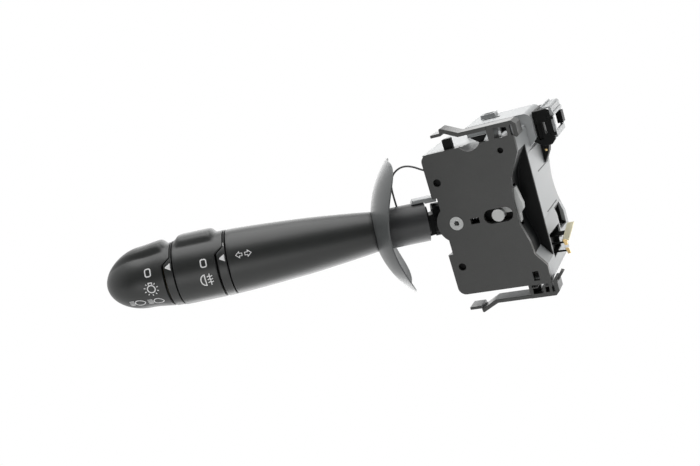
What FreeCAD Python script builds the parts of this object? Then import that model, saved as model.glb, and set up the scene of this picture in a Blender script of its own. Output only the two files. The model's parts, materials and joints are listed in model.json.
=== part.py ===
# Combination stalk switch for a steering column, in millimetres.
# X points right along the cover, towards the steering column. Y points away from the driver. Z is up.
# The origin lies on the turn pivot's axis, in the housing's flat back face.
import FreeCAD, Part
import math
import os
import Sketcher
from FreeCAD import Placement, Rotation, Vector

# Driving dimensions, lengths in mm and angles in degrees
SIZES = {
    # housing
    "case_depth": 50.0,          # back face to the cover's front face
    "case_left": 9.0,            # pivot axis to the cover's left edge
    "case_right": 39.2,          # pivot axis to the cover's right edge
    "case_top": 37.3,            # pivot axis to the cover's top edge
    "case_bottom": 38.0,         # pivot axis to the cover's bottom edge
    "cover_thick": 2.5,
    "carrier_wall": 2.0,
    "carrier_side_wall": 3.8,    # right wall, thicker for the column channel
    "carrier_back": 3.0,
    "carrier_step": 0.5,         # carrier outline inside the cover outline
    "corner_round": 4.0,
    "slack": 0.3,                # gap between neighbours that move
    "running": 0.05,             # radial clearance of a running fit
    # column recess in the right side
    "saddle_deepest": 31.2,
    "saddle_top": 29.0,
    "saddle_bottom": 29.0,
    "saddle_upper_x": 33.0,
    "saddle_upper_z": 17.5,
    "saddle_straight": 6.0,
    "saddle_lower_x": 33.9,
    "saddle_lower_z": 16.0,
    "saddle_foot_x": 34.5,
    "saddle_foot_z": 22.5,
    "saddle_depth": 12.0,        # behind the cover
    "liner_wall": 1.6,
    "channel_radius": 60.0,      # column channel in the light side wall
    "channel_sink": 0.9,
    "channel_z": 0.7,
    "upper_flare": 1.3,          # the side wall leans out towards the back
    "lower_flare": 2.9,
    "lower_flare_z": 10.3,
    "flare_low": 26.5,
    "flare_high": 24.0,
    # stalk window in the left side
    "window_top": 14.6,
    "window_bottom": 15.7,
    "carrier_window_top": 17.6,
    "window_step": 2.6,
    "window_depth": 33.0,
    "lobe_radius": 10.2,
    # cover holes
    "pin_hole_radius": 2.0,
    "small_hole_radius": 1.45,
    "upper_pin_x": 4.0,
    "upper_pin_z": 22.3,
    "lower_pin_x": 3.4,
    "lower_pin_z": 23.0,
    "small_pin_x": 31.4,
    "small_pin_z": 31.4,
    "pin_sink": 1.9,
    "notch_radius": 6.27,
    "notch_depth": 3.0,
    "notch_x": 17.0,
    "scoop_length": 18.0,
    "slit_x": 9.8,
    "slit_z": 0.4,
    "slit_wide": 4.6,
    "slit_tall": 3.0,
    "tall_slit_x": 32.4,
    "tall_slit_z": 33.6,
    "tall_slit_wide": 3.0,
    "tall_slit_tall": 5.0,
    # rear hump and side bracket
    "hump_front": 25.0,
    "hump_left": 9.0,
    "hump_right": 43.0,
    "hump_top": 42.0,
    "hump_low": 25.0,
    "bracket_front": 28.0,
    "bracket_back": 46.0,
    "bracket_right": 51.4,
    "bracket_low": 23.4,
    "bracket_high": 41.4,
    "bracket_wall": 2.2,
    "flange_thick": 3.0,
    "foot_front": 40.0,
    "foot_low": 12.2,
    "foot_knee": 17.7,
    "loop_front": 28.6,
    "loop_back": 49.2,
    "loop_thick": 2.0,
    "loop_low": 26.5,
    "loop_bar": 4.2,
    "loop_low_bar": 2.8,
    "loop_end": 2.4,
    "loop_back_end": 3.2,
    "loop_wing": 3.8,
    "loop_skin": 0.8,
    "loop_step": 0.6,
    "peg_upper": 36.6,
    "peg_lower": 28.4,
    "peg_half": 0.75,
    "clip_wall": 0.8,
    "clip_front": 44.2,
    "clip_low": 30.2,
    "clip_high": 36.2,
    "frame_left": 13.7,          # slot frame on the hump
    "frame_right": 21.4,
    "frame_front": 40.0,
    "frame_back": 46.0,
    "frame_rise": 2.0,
    "frame_wall": 1.2,
    # latch arms
    "arm_reach": 5.0,            # gap between cover edge and arm
    "arm_thick": 2.0,
    "arm_depth": 8.8,
    "arm_root_x": 26.6,
    "arm_knee_x": 13.5,
    "arm_hook_x": 5.0,
    "arm_hook_rise": 4.1,
    "arm_tab_x": -0.8,
    "arm_tab_rise": 2.3,
    "arm_shift": 3.8,            # lower arm reaches further left
    "post_width": 4.5,
    "post_second_x": 34.0,
    "arm_end_x": 41.8,
    "arm_end_drop": 7.0,
    "arm_bead": 1.2,
    "prong_front": 2.6,          # short prong at the lower corner
    "prong_thick": 3.0,
    "prong_reach": 4.4,
    "prong_lean": 3.2,
    "prong_wide": 1.4,
    "stop_x": 3.2,
    "stop_wide": 4.5,
    "stop_tall": 5.4,
    "stop_deep": 3.4,
    "fin_x": 17.5,
    "fin_wide": 8.5,
    "fin_tall": 3.3,
    "fin_thick": 1.6,
    # gimbal cradle
    "pivot_depth": 18.0,         # cover face to the stalk's pivot point
    "trunnion_radius": 3.5,
    "trunnion_bore": 1.4,
    "rear_trunnion_radius": 3.0,
    "rear_trunnion_length": 4.0,
    "cradle_half_wide": 3.5,
    "cradle_front": 7.5,
    "cradle_rail": 2.5,
    "cradle_length": 21.0,
    "cheek_inside": 7.5,
    "cheek_thick": 3.0,
    "cross_pin_radius": 1.5,
    "turn_pin_radius": 1.5,
    "turn_arm": 15.0,
    "bearing_boss_radius": 5.5,
    # stalk, along its own axis from the pivot point
    "stalk_lean": 26.0,          # towards the driver
    "stalk_rise": 5.5,           # above the horizontal
    "root_half_thick": 4.0,
    "root_half_tall": 7.0,
    "neck_half_tall": 5.4,
    "lug_radius": 6.0,
    "tail_half_tall": 4.5,
    "tail_length": 18.0,
    "plug_start": 20.0,
    "plug_end": 36.0,
    "shaft_start": 21.0,
    "mouth_depth": 9.0,
    "mouth_wall": 1.4,
    "shaft_radius": 10.5,
    "key_start": 14.5,
    "key_end": 27.6,
    "key_half_wide": 3.4,
    "key_rise": 1.9,
    "shield_radius": 47.0,
    "shield_thick": 1.5,
    "shield_half_tall": 33.0,
    "shield_half_deep": 24.0,
    "shield_round": 15.0,
    "body_small_radius": 10.6,
    "body_large_radius": 17.0,
    "body_lower_length": 17.5,
    "body_lower_radius": 12.7,
    "body_upper_length": 37.0,
    "body_upper_radius": 14.9,
    "body_end": 124.2,
    "body_wall": 2.2,
    "shaft_wall": 3.0,
    "core_bore": 4.5,
    "core_past_knob": 17.1,
    "ring_radius": 17.1,
    "inner_ring_length": 5.2,
    "inner_ring_web": 2.0,
    "fog_length": 22.7,
    "outer_ring_length": 4.8,
    "outer_ring_web": 1.2,
    "seam": 0.25,                # gap at the knobs' edges
    "fog_web_in": 7.6,
    "web_thick": 3.0,
    "knob_wall": 2.2,
    "ridge_start_angle": 50.0,
    "ridge_end_angle": 130.0,
    "fog_turn": 30.0,
    "light_turn": 60.0,
    "ridge_half_wide": 5.2,
    "fog_ridge_height": 19.4,
    "fog_ridge_in": 0.6,
    "fog_ridge_out": 2.1,
    "ridge_slope": 2.4,
    "knob_mouth_radius": 16.4,
    "knob_mid_in": 15.1,         # lengths from the knob's mouth towards its tip
    "knob_mid_radius": 14.6,
    "knob_nose_in": 27.1,
    "knob_nose_radius": 10.9,
    "knob_length": 34.7,
    "knob_tip_flat": 1.0,
    "light_ridge_height": 18.9,
    "light_ridge_peak_in": 1.3,
    "light_ridge_flat": 6.0,
    "light_ridge_mid_in": 17.1,
    "light_ridge_mid_height": 16.2,
    "light_ridge_foot_in": 25.1,
    "light_web_in": 4.1,
    "disc_radius": 12.5,
    "disc_thick": 1.5,
    "wiper_radius": 10.4,
    "clip_thick": 0.8,
    "clip_radius": 9.4,
    "wiper_thick": 0.5,
    # turn detent
    "plunger_radius": 2.0,
    "plunger_reach": 19.6,
    "plunger_length": 8.4,
    "plunger_travel": 1.0,
    "bore_depth": 12.0,
    "detent_radius": 2.3,
    "cam_wide": 9.0,
    "cam_front": 19.5,
    "cam_near": 13.5,
    "cam_far": 24.0,
    "turn_angle": 12.0,
    "pull_angle": 8.0,
    "spring_wire": 0.5,
    # contact boards and sliders
    "board_front": 36.0,
    "board_thick": 1.6,
    "board_left": 5.9,
    "board_right": 29.4,
    "board_low": 34.6,
    "board_high": 9.4,
    "track_thick": 0.2,
    "slider_front": 31.0,
    "slider_right": 16.0,
    "slider_high": 11.0,
    "slider_low": 19.6,
    "slider_frame": 1.3,
    "beam_peg_reach": 10.0,
    "beam_peg_radius": 1.4,
    "beam_peg_top": 14.2,
    "beam_slider_low": 11.4,
    "beam_slider_thick": 2.0,
    "beam_slider_left": 1.7,
    "beam_slider_right": 15.2,
    "beam_slider_front": 17.0,
    "beam_slider_back": 27.6,
    "beam_board_low": 16.4,
    "beam_travel": 1.21,
    # cancel finger
    "slot_left": 14.6,
    "slot_right": 29.4,
    "slot_z": 0.2,
    "slot_half": 3.65,
    "finger_pin_x": 21.9,
    "finger_pin_radius": 3.15,
    "finger_left": 11.5,
    "finger_half_tall": 3.6,
    "finger_thick": 4.0,
    "finger_face": 2.0,          # white front half of the finger's bar
    "finger_bar_low": 0.1,
    "finger_bar_high": 3.2,
    "finger_neck_x": 28.6,
    "finger_nose_x": 34.3,
    "finger_nose_z": 2.7,
    "finger_chin_x": 33.9,
    "finger_step_x": 31.9,
    "finger_step_z": 1.9,
    "finger_high_x": 32.6,
    "finger_high_z": 11.6,
    "finger_low_x": 31.4,
    "finger_low_z": 6.0,
    "finger_out": 4.0,
    "guide_thick": 1.3,
    "guide_left": 10.0,
    "guide_right": 22.6,
    "finger_spring_radius": 1.7,
    "spring_stop_x": 5.5,
    # plug socket and blades
    "socket_gap": 0.6,           # between the socket and the back wall's inside
    "socket_wide": 10.6,
    "socket_high": 10.8,
    "socket_tall": 12.0,
    "socket_wall": 1.3,
    "socket_deep": 10.4,
    "socket_sink": 0.8,
    "blade_thick": 0.8,
    "blade_front": 21.6,
    "blade_high": 24.6,
    "blade_pitch": 5.0,
    "blade_reach": 5.0,
    "blade_wide": 3.4,
    "strap_front": 19.6,         # the tall blade that leans back
    "strap_low": 25.4,
    "strap_length": 10.5,
    "strap_rise": 5.0,
    "strap_reach": 5.4,
    "strap_gap": 1.0,
    "blade_block_front": 17.0,
    "blade_block_deep": 17.4,
    "blade_block_high": 19.0,
    "blade_block_low": 31.4,
    "blade_block_sink": 2.6,
    "tongue_tall": 2.5,
    "contact_strip": 1.3,
    # lead from the housing to the shaft
    "lead_radius": 0.5,
    "lead_depth": 6.0,
    "lead_gap": 15.4,            # between the lead and the collar's sphere
    "lead_low": 12.8,
    "lead_rise": 11.2,
    "lead_bend": 8.4,
    "lead_angle": 25.0,
    "lead_slope": 7.0,
    "lead_entry_bend": 8.0,
    "lead_entry": 5.0,
    "lead_hole": 0.9,
}

doc = FreeCAD.newDocument("stalk_switch")
sheet = doc.addObject("Spreadsheet::Sheet", "sizes")


class Size:
    """A length or angle with its value now and the text that ties it to the sheet."""

    def __init__(self, value, text):
        self.value = float(value)
        self.text = text

    def join(self, sign, other, swapped=False):
        other = other if isinstance(other, Size) else Size(other, repr(float(other)))
        left, right = (other, self) if swapped else (self, other)
        value = {
            "+": left.value + right.value,
            "-": left.value - right.value,
            "*": left.value * right.value,
            "/": left.value / right.value if right.value else 0.0,
        }[sign]
        return Size(value, "(%s %s %s)" % (left.text, sign, right.text))

    def __add__(self, other):
        return self.join("+", other)

    def __radd__(self, other):
        return self.join("+", other, True)

    def __sub__(self, other):
        return self.join("-", other)

    def __rsub__(self, other):
        return self.join("-", other, True)

    def __mul__(self, other):
        return self.join("*", other)

    def __rmul__(self, other):
        return self.join("*", other, True)

    def __truediv__(self, other):
        return self.join("/", other)

    def __neg__(self):
        return Size(-self.value, "(-%s)" % self.text)


def sine(angle):
    return Size(math.sin(math.radians(angle.value)), "sin(%s)" % angle.text)


def cosine(angle):
    return Size(math.cos(math.radians(angle.value)), "cos(%s)" % angle.text)


class Dimensions:
    """Every size of the sheet, by its alias."""


size = Dimensions()
for row, (alias, number) in enumerate(SIZES.items(), start=1):
    sheet.set("A%d" % row, alias)
    sheet.set("B%d" % row, str(number))
    sheet.setAlias("B%d" % row, alias)
    setattr(size, alias, Size(number, "sizes.%s" % alias))
doc.recompute()

NONE = Size(0.0, "0")

# Sizes that follow from others: the core fills the shaft, and each station starts at the one before
size.core_radius = size.shaft_radius - size.shaft_wall
size.lead_x = size.shield_radius - size.lead_gap
size.inner_ring_end = size.body_end + size.inner_ring_length
size.fog_web_start = size.inner_ring_end + size.fog_web_in
size.fog_ridge_start = size.inner_ring_end + size.fog_ridge_in
size.fog_end = size.inner_ring_end + size.fog_length
size.fog_ridge_end = size.fog_end - size.fog_ridge_out
size.outer_ring_end = size.fog_end + size.outer_ring_length
size.light_ridge_peak = size.outer_ring_end + size.light_ridge_peak_in
size.light_ridge_mid = size.outer_ring_end + size.light_ridge_mid_in
size.light_ridge_foot = size.outer_ring_end + size.light_ridge_foot_in
size.light_web_start = size.outer_ring_end + size.light_web_in
size.knob_mid = size.outer_ring_end + size.knob_mid_in
size.knob_nose = size.outer_ring_end + size.knob_nose_in
size.knob_tip = size.outer_ring_end + size.knob_length
size.core_end = size.outer_ring_end + size.core_past_knob
size.loop_high = size.bracket_high + size.loop_skin


def plane(body, role):
    """The body's own origin plane."""
    return [feature for feature in body.Origin.OriginFeatures if feature.Role == role][0]


def new_body(name):
    body = doc.addObject("PartDesign::Body", name)
    body.Label = name
    return body


class Profile:
    """A sketch on one of its body's own planes. Every point is tied to the sheet."""

    def __init__(self, body, label, role, offset=NONE):
        self.sketch = body.newObject("Sketcher::SketchObject", label)
        self.sketch.AttachmentSupport = (plane(body, role), [""])
        self.sketch.MapMode = "FlatFace"
        self.sketch.AttachmentOffset = Placement(Vector(0, 0, offset.value), Rotation())
        self.sketch.setExpression(".AttachmentOffset.Base.z", offset.text)

    def bind(self, constraint, length):
        index = self.sketch.addConstraint(constraint)
        self.sketch.setExpression("Constraints[%d]" % index, length.text)

    def pin(self, line, end, u, v):
        """Holds one end of a line or arc at (u, v)."""
        self.bind(Sketcher.Constraint("DistanceX", -1, 1, line, end, u.value), u)
        self.bind(Sketcher.Constraint("DistanceY", -1, 1, line, end, v.value), v)

    def polygon(self, corners):
        """A closed outline. A third value in a corner is the radius of the arc to the next corner:
        positive bulges to the left of the way there, negative to the right."""
        first = self.sketch.GeometryCount
        count = len(corners)
        for here, there in zip(corners, corners[1:] + corners[:1]):
            start = Vector(here[0].value, here[1].value, 0)
            end = Vector(there[0].value, there[1].value, 0)
            if len(here) == 3:
                self.sketch.addGeometry(self.arc(start, end, here[2].value), False)
            else:
                self.sketch.addGeometry(Part.LineSegment(start, end), False)
        for step, corner in enumerate(corners):
            line = first + step
            following = first + (step + 1) % count
            begin, finish = self.ends(corners, step)
            next_begin = self.ends(corners, (step + 1) % count)[0]
            self.sketch.addConstraint(Sketcher.Constraint("Coincident", line, finish, following, next_begin))
            self.pin(line, begin, corner[0], corner[1])
            if len(corner) == 3:
                radius = corner[2] if corner[2].value > 0 else -corner[2]
                self.bind(Sketcher.Constraint("Radius", line, radius.value), radius)
        return self

    @staticmethod
    def ends(corners, step):
        """Which end of the step's line or arc comes first. An arc always runs anticlockwise."""
        clockwise = len(corners[step]) == 3 and corners[step][2].value > 0
        return (2, 1) if clockwise else (1, 2)

    @staticmethod
    def arc(start, end, radius):
        middle = (start + end) * 0.5
        along = (end - start).normalize()
        left = Vector(-along.y, along.x, 0)
        half = (end - start).Length / 2.0
        reach = abs(radius)
        sagitta = reach - math.sqrt(max(reach * reach - half * half, 0.0))
        side = 1.0 if radius > 0 else -1.0
        return Part.Arc(start, middle + left * (side * sagitta), end)

    def box(self, left, right, low, high):
        return self.polygon([(left, low), (right, low), (right, high), (left, high)])

    def disc(self, u, v, radius):
        centre = Vector(u.value, v.value, 0)
        circle = self.sketch.addGeometry(Part.Circle(centre, Vector(0, 0, 1), radius.value), False)
        self.pin(circle, 3, u, v)
        self.bind(Sketcher.Constraint("Radius", circle, radius.value), radius)
        return self


def solid_feature(body, kind, label, profile, length, backwards):
    feature = body.newObject("PartDesign::%s" % kind, label)
    feature.Profile = profile.sketch
    feature.Length = length.value
    feature.setExpression("Length", length.text)
    feature.Reversed = backwards
    profile.sketch.Visibility = False
    return feature


def pad(body, label, profile, length, backwards=False):
    return solid_feature(body, "Pad", label, profile, length, backwards)


def pocket(body, label, profile, length, backwards=False):
    return solid_feature(body, "Pocket", label, profile, length, backwards)


def turned(body, kind, label, profile, axis="H_Axis"):
    """A Revolution or a Groove, once round the profile's horizontal or vertical axis."""
    feature = body.newObject("PartDesign::%s" % kind, label)
    feature.Profile = profile.sketch
    feature.ReferenceAxis = (profile.sketch, [axis])
    feature.Angle = 360.0
    return feature


def layer(body, label, front, thick, draw):
    """Material from a depth behind the cover's face, thick further back."""
    profile = Profile(body, label + "_outline", "XZ_Plane", size.case_depth - front)
    return pad(body, label, draw(profile), thick, backwards=True)


def layer_cut(body, label, front, thick, draw):
    profile = Profile(body, label + "_outline", "XZ_Plane", size.case_depth - front)
    return pocket(body, label, draw(profile), thick)


def row_y(depth):
    """Row coordinate of a depth behind the cover's face."""
    return depth - size.case_depth


def rounded(body, label, radius, wanted):
    """Fillets each edge of the body's last feature that the test accepts."""
    doc.recompute()
    base = body.Tip
    names = ["Edge%d" % (i + 1) for i, edge in enumerate(base.Shape.Edges) if wanted(edge)]
    fillet = body.newObject("PartDesign::Fillet", label)
    fillet.Base = (base, names)
    fillet.Radius = radius.value
    fillet.setExpression("Radius", radius.text)
    return fillet


def along_y_at(points):
    """A test for edges that run along Y through one of the (x, z) points."""

    def wanted(edge):
        if len(edge.Vertexes) != 2:
            return False
        a, b = edge.Vertexes[0].Point, edge.Vertexes[1].Point
        if abs(a.x - b.x) > 1e-6 or abs(a.z - b.z) > 1e-6:
            return False
        return any(abs(a.x - x.value) < 1e-4 and abs(a.z - z.value) < 1e-4 for x, z in points)

    return wanted


def mirrored_up(sign, z):
    """The height z above or below the pivot."""
    return z if sign > 0 else -z


# Column recess outline, shared by the cover, the liner and the carrier
def saddle_line(shift=0.0):
    return [
        (size.saddle_upper_x - shift, size.saddle_upper_z),
        (size.saddle_deepest - shift, size.saddle_straight),
        (size.saddle_deepest - shift, -size.saddle_straight),
        (size.saddle_lower_x - shift, -size.saddle_lower_z),
        (size.saddle_foot_x - shift, -size.saddle_foot_z),
    ]


def cover_outline(profile):
    window_x = size.window_step - size.case_left
    return profile.polygon(
        [(-size.case_left, size.case_top), (size.case_right, size.case_top), (size.case_right, size.saddle_top)]
        + saddle_line()
        + [
            (size.case_right, -size.saddle_bottom),
            (size.case_right, -size.case_bottom),
            (-size.case_left, -size.case_bottom),
            (-size.case_left, -size.window_bottom),
            (window_x, -size.window_bottom),
            (window_x, size.window_top),
            (-size.case_left, size.window_top),
        ]
    )


# Front cover with its posts, arm roots and finger guides
def arm_band(sign):
    """Inner and outer face of a latch arm's band, as heights."""
    edge = size.case_top if sign > 0 else size.case_bottom
    inner = edge + size.arm_reach
    return mirrored_up(sign, inner), mirrored_up(sign, inner + size.arm_thick)


def arm_fixed_end(sign):
    """The band from the concave seat of the arm's root, round the corner to its beaded end."""

    def draw(profile):
        inner, outer = arm_band(sign)
        seat = size.arm_root_x + size.running * 7.0
        drop = mirrored_up(sign, size.arm_end_drop)
        corner = size.arm_end_x - size.arm_thick
        corners = [
            (seat, inner),
            (seat, outer),
            (corner, outer),
            (size.arm_end_x, outer - mirrored_up(sign, size.arm_thick)),
            (size.arm_end_x, outer - drop),
            (corner, outer - drop),
            (corner, inner),
        ]
        return profile.polygon(corners)

    return draw


front_cover = new_body("front_cover")
layer(front_cover, "cover_face", NONE, size.cover_thick, cover_outline)
layer(front_cover, "pivot_lobe", NONE, size.cover_thick, lambda p: p.disc(NONE, NONE, size.lobe_radius))
recess_corners = [(x, z) for x, z in saddle_line()]
rounded(front_cover, "recess_rounds", size.corner_round / 2.0, along_y_at(recess_corners))
rounded(
    front_cover,
    "outer_rounds",
    size.corner_round,
    along_y_at([(-size.case_left, size.case_top), (-size.case_left, -size.case_bottom)]),
)
for sign, side in ((1, "upper"), (-1, "lower")):
    edge = mirrored_up(sign, (size.case_top if sign > 0 else size.case_bottom) - size.running)
    inner, outer = arm_band(sign)
    middle = (inner + outer) / 2.0
    for number, left in enumerate((size.arm_root_x + size.slack * 2.0, size.post_second_x), start=1):
        low, high = (edge, middle) if sign > 0 else (middle, edge)
        layer(
            front_cover,
            "%s_post_%d" % (side, number),
            NONE,
            size.arm_depth,
            lambda p: p.box(left, left + size.post_width, low, high),
        )
    layer(front_cover, side + "_arm_root", NONE, size.arm_depth, arm_fixed_end(sign))
    bead_z = outer - mirrored_up(sign, size.arm_end_drop)
    layer(
        front_cover,
        side + "_bead",
        NONE,
        size.arm_depth,
        lambda p: p.disc(size.arm_end_x - size.arm_thick / 2.0, bead_z, size.arm_bead),
    )
prong_x = size.arm_end_x - size.arm_thick / 2.0
layer(
    front_cover,
    "lower_prong",
    size.prong_front,
    size.prong_thick,
    lambda p: p.polygon(
        [
            (prong_x, bead_z),
            (prong_x + size.arm_bead * 0.7, bead_z - size.arm_bead * 0.7),
            (prong_x + size.prong_lean + size.prong_wide, bead_z + size.prong_reach - size.prong_wide * 0.5),
            (prong_x + size.prong_lean, bead_z + size.prong_reach),
        ]
    ),
)
layer(
    front_cover,
    "finger_guides",
    size.cover_thick,
    size.finger_thick + size.slack,
    lambda p: p.box(
        size.guide_left,
        size.guide_right,
        size.slot_z + size.finger_half_tall + size.running * 2.0,
        size.slot_z + size.finger_half_tall + size.running * 2.0 + size.guide_thick,
    ).box(
        size.guide_left,
        size.guide_right,
        size.slot_z - size.finger_half_tall - size.running * 2.0 - size.guide_thick,
        size.slot_z - size.finger_half_tall - size.running * 2.0,
    ).box(
        size.spring_stop_x - size.guide_thick,
        size.spring_stop_x,
        size.slot_z - size.finger_half_tall,
        size.slot_z + size.finger_half_tall,
    ),
)


def cover_holes(profile):
    profile.disc(NONE, NONE, size.trunnion_radius + size.running)
    profile.disc(-size.upper_pin_x, size.upper_pin_z, size.pin_hole_radius)
    profile.disc(-size.lower_pin_x, -size.lower_pin_z, size.pin_hole_radius)
    profile.disc(size.small_pin_x, size.small_pin_z, size.small_hole_radius)
    profile.disc(size.notch_x, size.case_top + size.notch_radius - size.notch_depth, size.notch_radius)
    half = size.slit_wide / 2.0
    tall = size.slit_tall / 2.0
    profile.box(size.slit_x - half, size.slit_x + half, -size.slit_z - tall, -size.slit_z + tall)
    half = size.tall_slit_wide / 2.0
    tall = size.tall_slit_tall / 2.0
    profile.box(
        size.tall_slit_x - half, size.tall_slit_x + half, -size.tall_slit_z - tall, -size.tall_slit_z + tall
    )
    return profile


layer_cut(front_cover, "cover_holes", NONE, size.cover_thick, cover_holes)
slot_start = size.slot_left + size.slot_half
slot_stop = size.slot_right - size.slot_half
layer_cut(
    front_cover,
    "slot_middle",
    NONE,
    size.cover_thick,
    lambda p: p.box(slot_start, slot_stop, size.slot_z - size.slot_half, size.slot_z + size.slot_half),
)
layer_cut(front_cover, "slot_left_end", NONE, size.cover_thick, lambda p: p.disc(slot_start, size.slot_z, size.slot_half))
layer_cut(front_cover, "slot_right_end", NONE, size.cover_thick, lambda p: p.disc(slot_stop, size.slot_z, size.slot_half))


def arm_seats(profile):
    for sign in (1, -1):
        inner, outer = arm_band(sign)
        profile.disc(size.arm_root_x, (inner + outer) / 2.0, size.arm_thick / 2.0 + size.running * 1.2)
    return profile


layer_cut(front_cover, "arm_seats", NONE, size.arm_depth, arm_seats)

# Light rear carrier: one moulded box with the column channel, the hump and the inner posts
carrier_left = size.carrier_step - size.case_left
carrier_top = size.case_top - size.carrier_step
carrier_low = size.carrier_step - size.case_bottom
carrier_deep = size.case_depth - size.cover_thick
inside_left = carrier_left + size.carrier_wall
inside_right = size.case_right - size.carrier_side_wall
inside_top = carrier_top - size.carrier_wall
inside_low = carrier_low + size.carrier_wall
back_inside = size.case_depth - size.carrier_back
recess_back = size.cover_thick + size.saddle_depth

rear_carrier = new_body("rear_carrier")
layer(
    rear_carrier,
    "carrier_block",
    size.cover_thick,
    carrier_deep,
    lambda p: p.box(carrier_left, size.case_right, carrier_low, carrier_top),
)
layer(
    rear_carrier,
    "hump",
    size.hump_front,
    size.case_depth - size.hump_front,
    lambda p: p.polygon(
        [
            (size.hump_left, carrier_top - size.carrier_wall),
            (size.case_right - size.carrier_wall, carrier_top - size.carrier_wall),
            (size.case_right - size.carrier_wall, size.hump_low),
            (size.case_right, size.hump_low),
            (size.hump_right, size.hump_low + size.carrier_side_wall),
            (size.hump_right, size.hump_top),
            (size.hump_left, size.hump_top),
        ]
    ),
)
rounded(
    rear_carrier,
    "hump_round",
    size.corner_round,
    along_y_at([(size.hump_right, size.hump_top)]),
)
layer_cut(
    rear_carrier,
    "carrier_room",
    size.cover_thick,
    back_inside - size.cover_thick,
    lambda p: p.box(inside_left, inside_right, inside_low, inside_top),
)
layer_cut(
    rear_carrier,
    "hump_room",
    size.hump_front + size.carrier_wall,
    back_inside - size.hump_front - size.carrier_wall,
    lambda p: p.box(
        size.hump_left + size.carrier_wall,
        size.hump_right - size.carrier_wall,
        inside_top - size.carrier_wall,
        size.hump_top - size.carrier_wall,
    ),
)
layer(
    rear_carrier,
    "scoop_bed",
    size.cover_thick,
    size.notch_radius,
    lambda p: p.box(
        size.notch_x - size.notch_radius,
        size.notch_x + size.notch_radius,
        inside_top - size.carrier_wall,
        inside_top + size.running,
    ),
)
liner_back = recess_back + size.liner_wall
layer_cut(
    rear_carrier,
    "column_recess",
    size.cover_thick,
    liner_back - size.cover_thick,
    lambda p: p.polygon(
        [
            (inside_right - size.carrier_wall * 3.0, size.saddle_top),
            (inside_right - size.carrier_wall * 3.0, -size.saddle_foot_z),
            (size.saddle_foot_x, -size.saddle_foot_z),
            (size.case_right, -size.saddle_bottom),
            (size.case_right + size.carrier_wall, -size.saddle_bottom),
            (size.case_right + size.carrier_wall, size.saddle_top),
        ]
    ),
)
layer(
    rear_carrier,
    "recess_foot",
    size.cover_thick,
    liner_back - size.cover_thick,
    lambda p: p.polygon(
        [
            (size.saddle_foot_x, -size.saddle_foot_z),
            (size.case_right, -size.saddle_bottom),
            (size.case_right, -size.saddle_bottom - size.carrier_wall * 2.0),
            (size.saddle_foot_x, -size.saddle_foot_z - size.carrier_wall * 1.5),
        ]
    ),
)


def side_flare(label, low, high, reach):
    """A wedge on the side wall that grows towards the back."""
    profile = Profile(rear_carrier, label + "_outline", "XY_Plane", low)
    profile.polygon(
        [
            (size.case_right - size.running, row_y(liner_back)),
            (size.case_right, row_y(liner_back)),
            (size.case_right + reach, NONE),
            (size.case_right - size.running, NONE),
        ]
    )
    return pad(rear_carrier, label, profile, high - low)


side_flare("upper_flare", -size.lower_flare_z, size.flare_high, size.upper_flare)
side_flare("lower_flare", -size.flare_low, -size.lower_flare_z, size.lower_flare)
flare_way = Vector(size.upper_flare.value, -row_y(liner_back).value, 0)
channel = rear_carrier.newObject("PartDesign::SubtractiveCylinder", "column_channel")
channel.Radius = size.channel_radius.value
channel.setExpression("Radius", size.channel_radius.text)
channel.Height = (size.case_depth * 1.5).value
channel.setExpression("Height", (size.case_depth * 1.5).text)
channel.Placement = Placement(
    Vector(
        (size.case_right + size.channel_radius - size.channel_sink).value,
        row_y(liner_back).value,
        size.channel_z.value,
    ),
    Rotation(Vector(0, 0, 1), flare_way),
)
layer_cut(
    rear_carrier,
    "stalk_window",
    size.cover_thick,
    size.window_depth - size.cover_thick,
    lambda p: p.box(
        carrier_left - size.carrier_wall,
        inside_left + size.carrier_wall / 2.0,
        -size.window_bottom,
        size.carrier_window_top,
    ),
)
boss_front = size.cradle_front + size.cradle_length + size.slack
layer(
    rear_carrier,
    "bearing_boss",
    boss_front,
    back_inside - boss_front,
    lambda p: p.disc(NONE, NONE, size.bearing_boss_radius),
)
layer_cut(
    rear_carrier,
    "bearing_bore",
    boss_front,
    size.rear_trunnion_length + size.slack,
    lambda p: p.disc(NONE, NONE, size.rear_trunnion_radius + size.running),
)
board_back = size.board_front + size.board_thick


def board_posts(profile):
    inset = size.carrier_wall * 2.0
    for x in (-size.board_left + inset, size.board_right - inset):
        for z in (-size.board_low + inset, -size.board_high - inset * 2.0):
            profile.disc(x, z, size.carrier_wall)
    return profile


layer(rear_carrier, "board_posts", board_back, back_inside - board_back, board_posts)


def pin_places(profile, radius_big, radius_small):
    profile.disc(-size.upper_pin_x, size.upper_pin_z, radius_big)
    profile.disc(-size.lower_pin_x, -size.lower_pin_z, radius_big)
    profile.disc(size.small_pin_x, size.small_pin_z, radius_small)
    return profile


layer(
    rear_carrier,
    "cover_posts",
    size.cover_thick,
    size.arm_depth,
    lambda p: pin_places(p, size.pin_hole_radius + size.carrier_wall, size.small_hole_radius + size.carrier_wall),
)
layer(
    rear_carrier,
    "post_rib",
    size.cover_thick,
    size.arm_depth,
    lambda p: p.box(
        size.small_pin_x - size.small_hole_radius,
        size.small_pin_x + size.small_hole_radius,
        size.small_pin_z,
        inside_top + size.running,
    ),
)
layer_cut(
    rear_carrier,
    "post_bores",
    size.cover_thick,
    size.arm_depth - size.carrier_wall,
    lambda p: pin_places(p, size.pin_hole_radius, size.small_hole_radius),
)
scoop_z = size.case_top + size.notch_radius - size.notch_depth
scoop = rear_carrier.newObject("PartDesign::SubtractiveCone", "tool_scoop")
scoop.Radius1 = size.notch_radius.value
scoop.setExpression("Radius1", size.notch_radius.text)
scoop.Radius2 = 0.0
scoop.Height = size.scoop_length.value
scoop.setExpression("Height", size.scoop_length.text)
scoop.AttachmentOffset = Placement()
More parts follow.
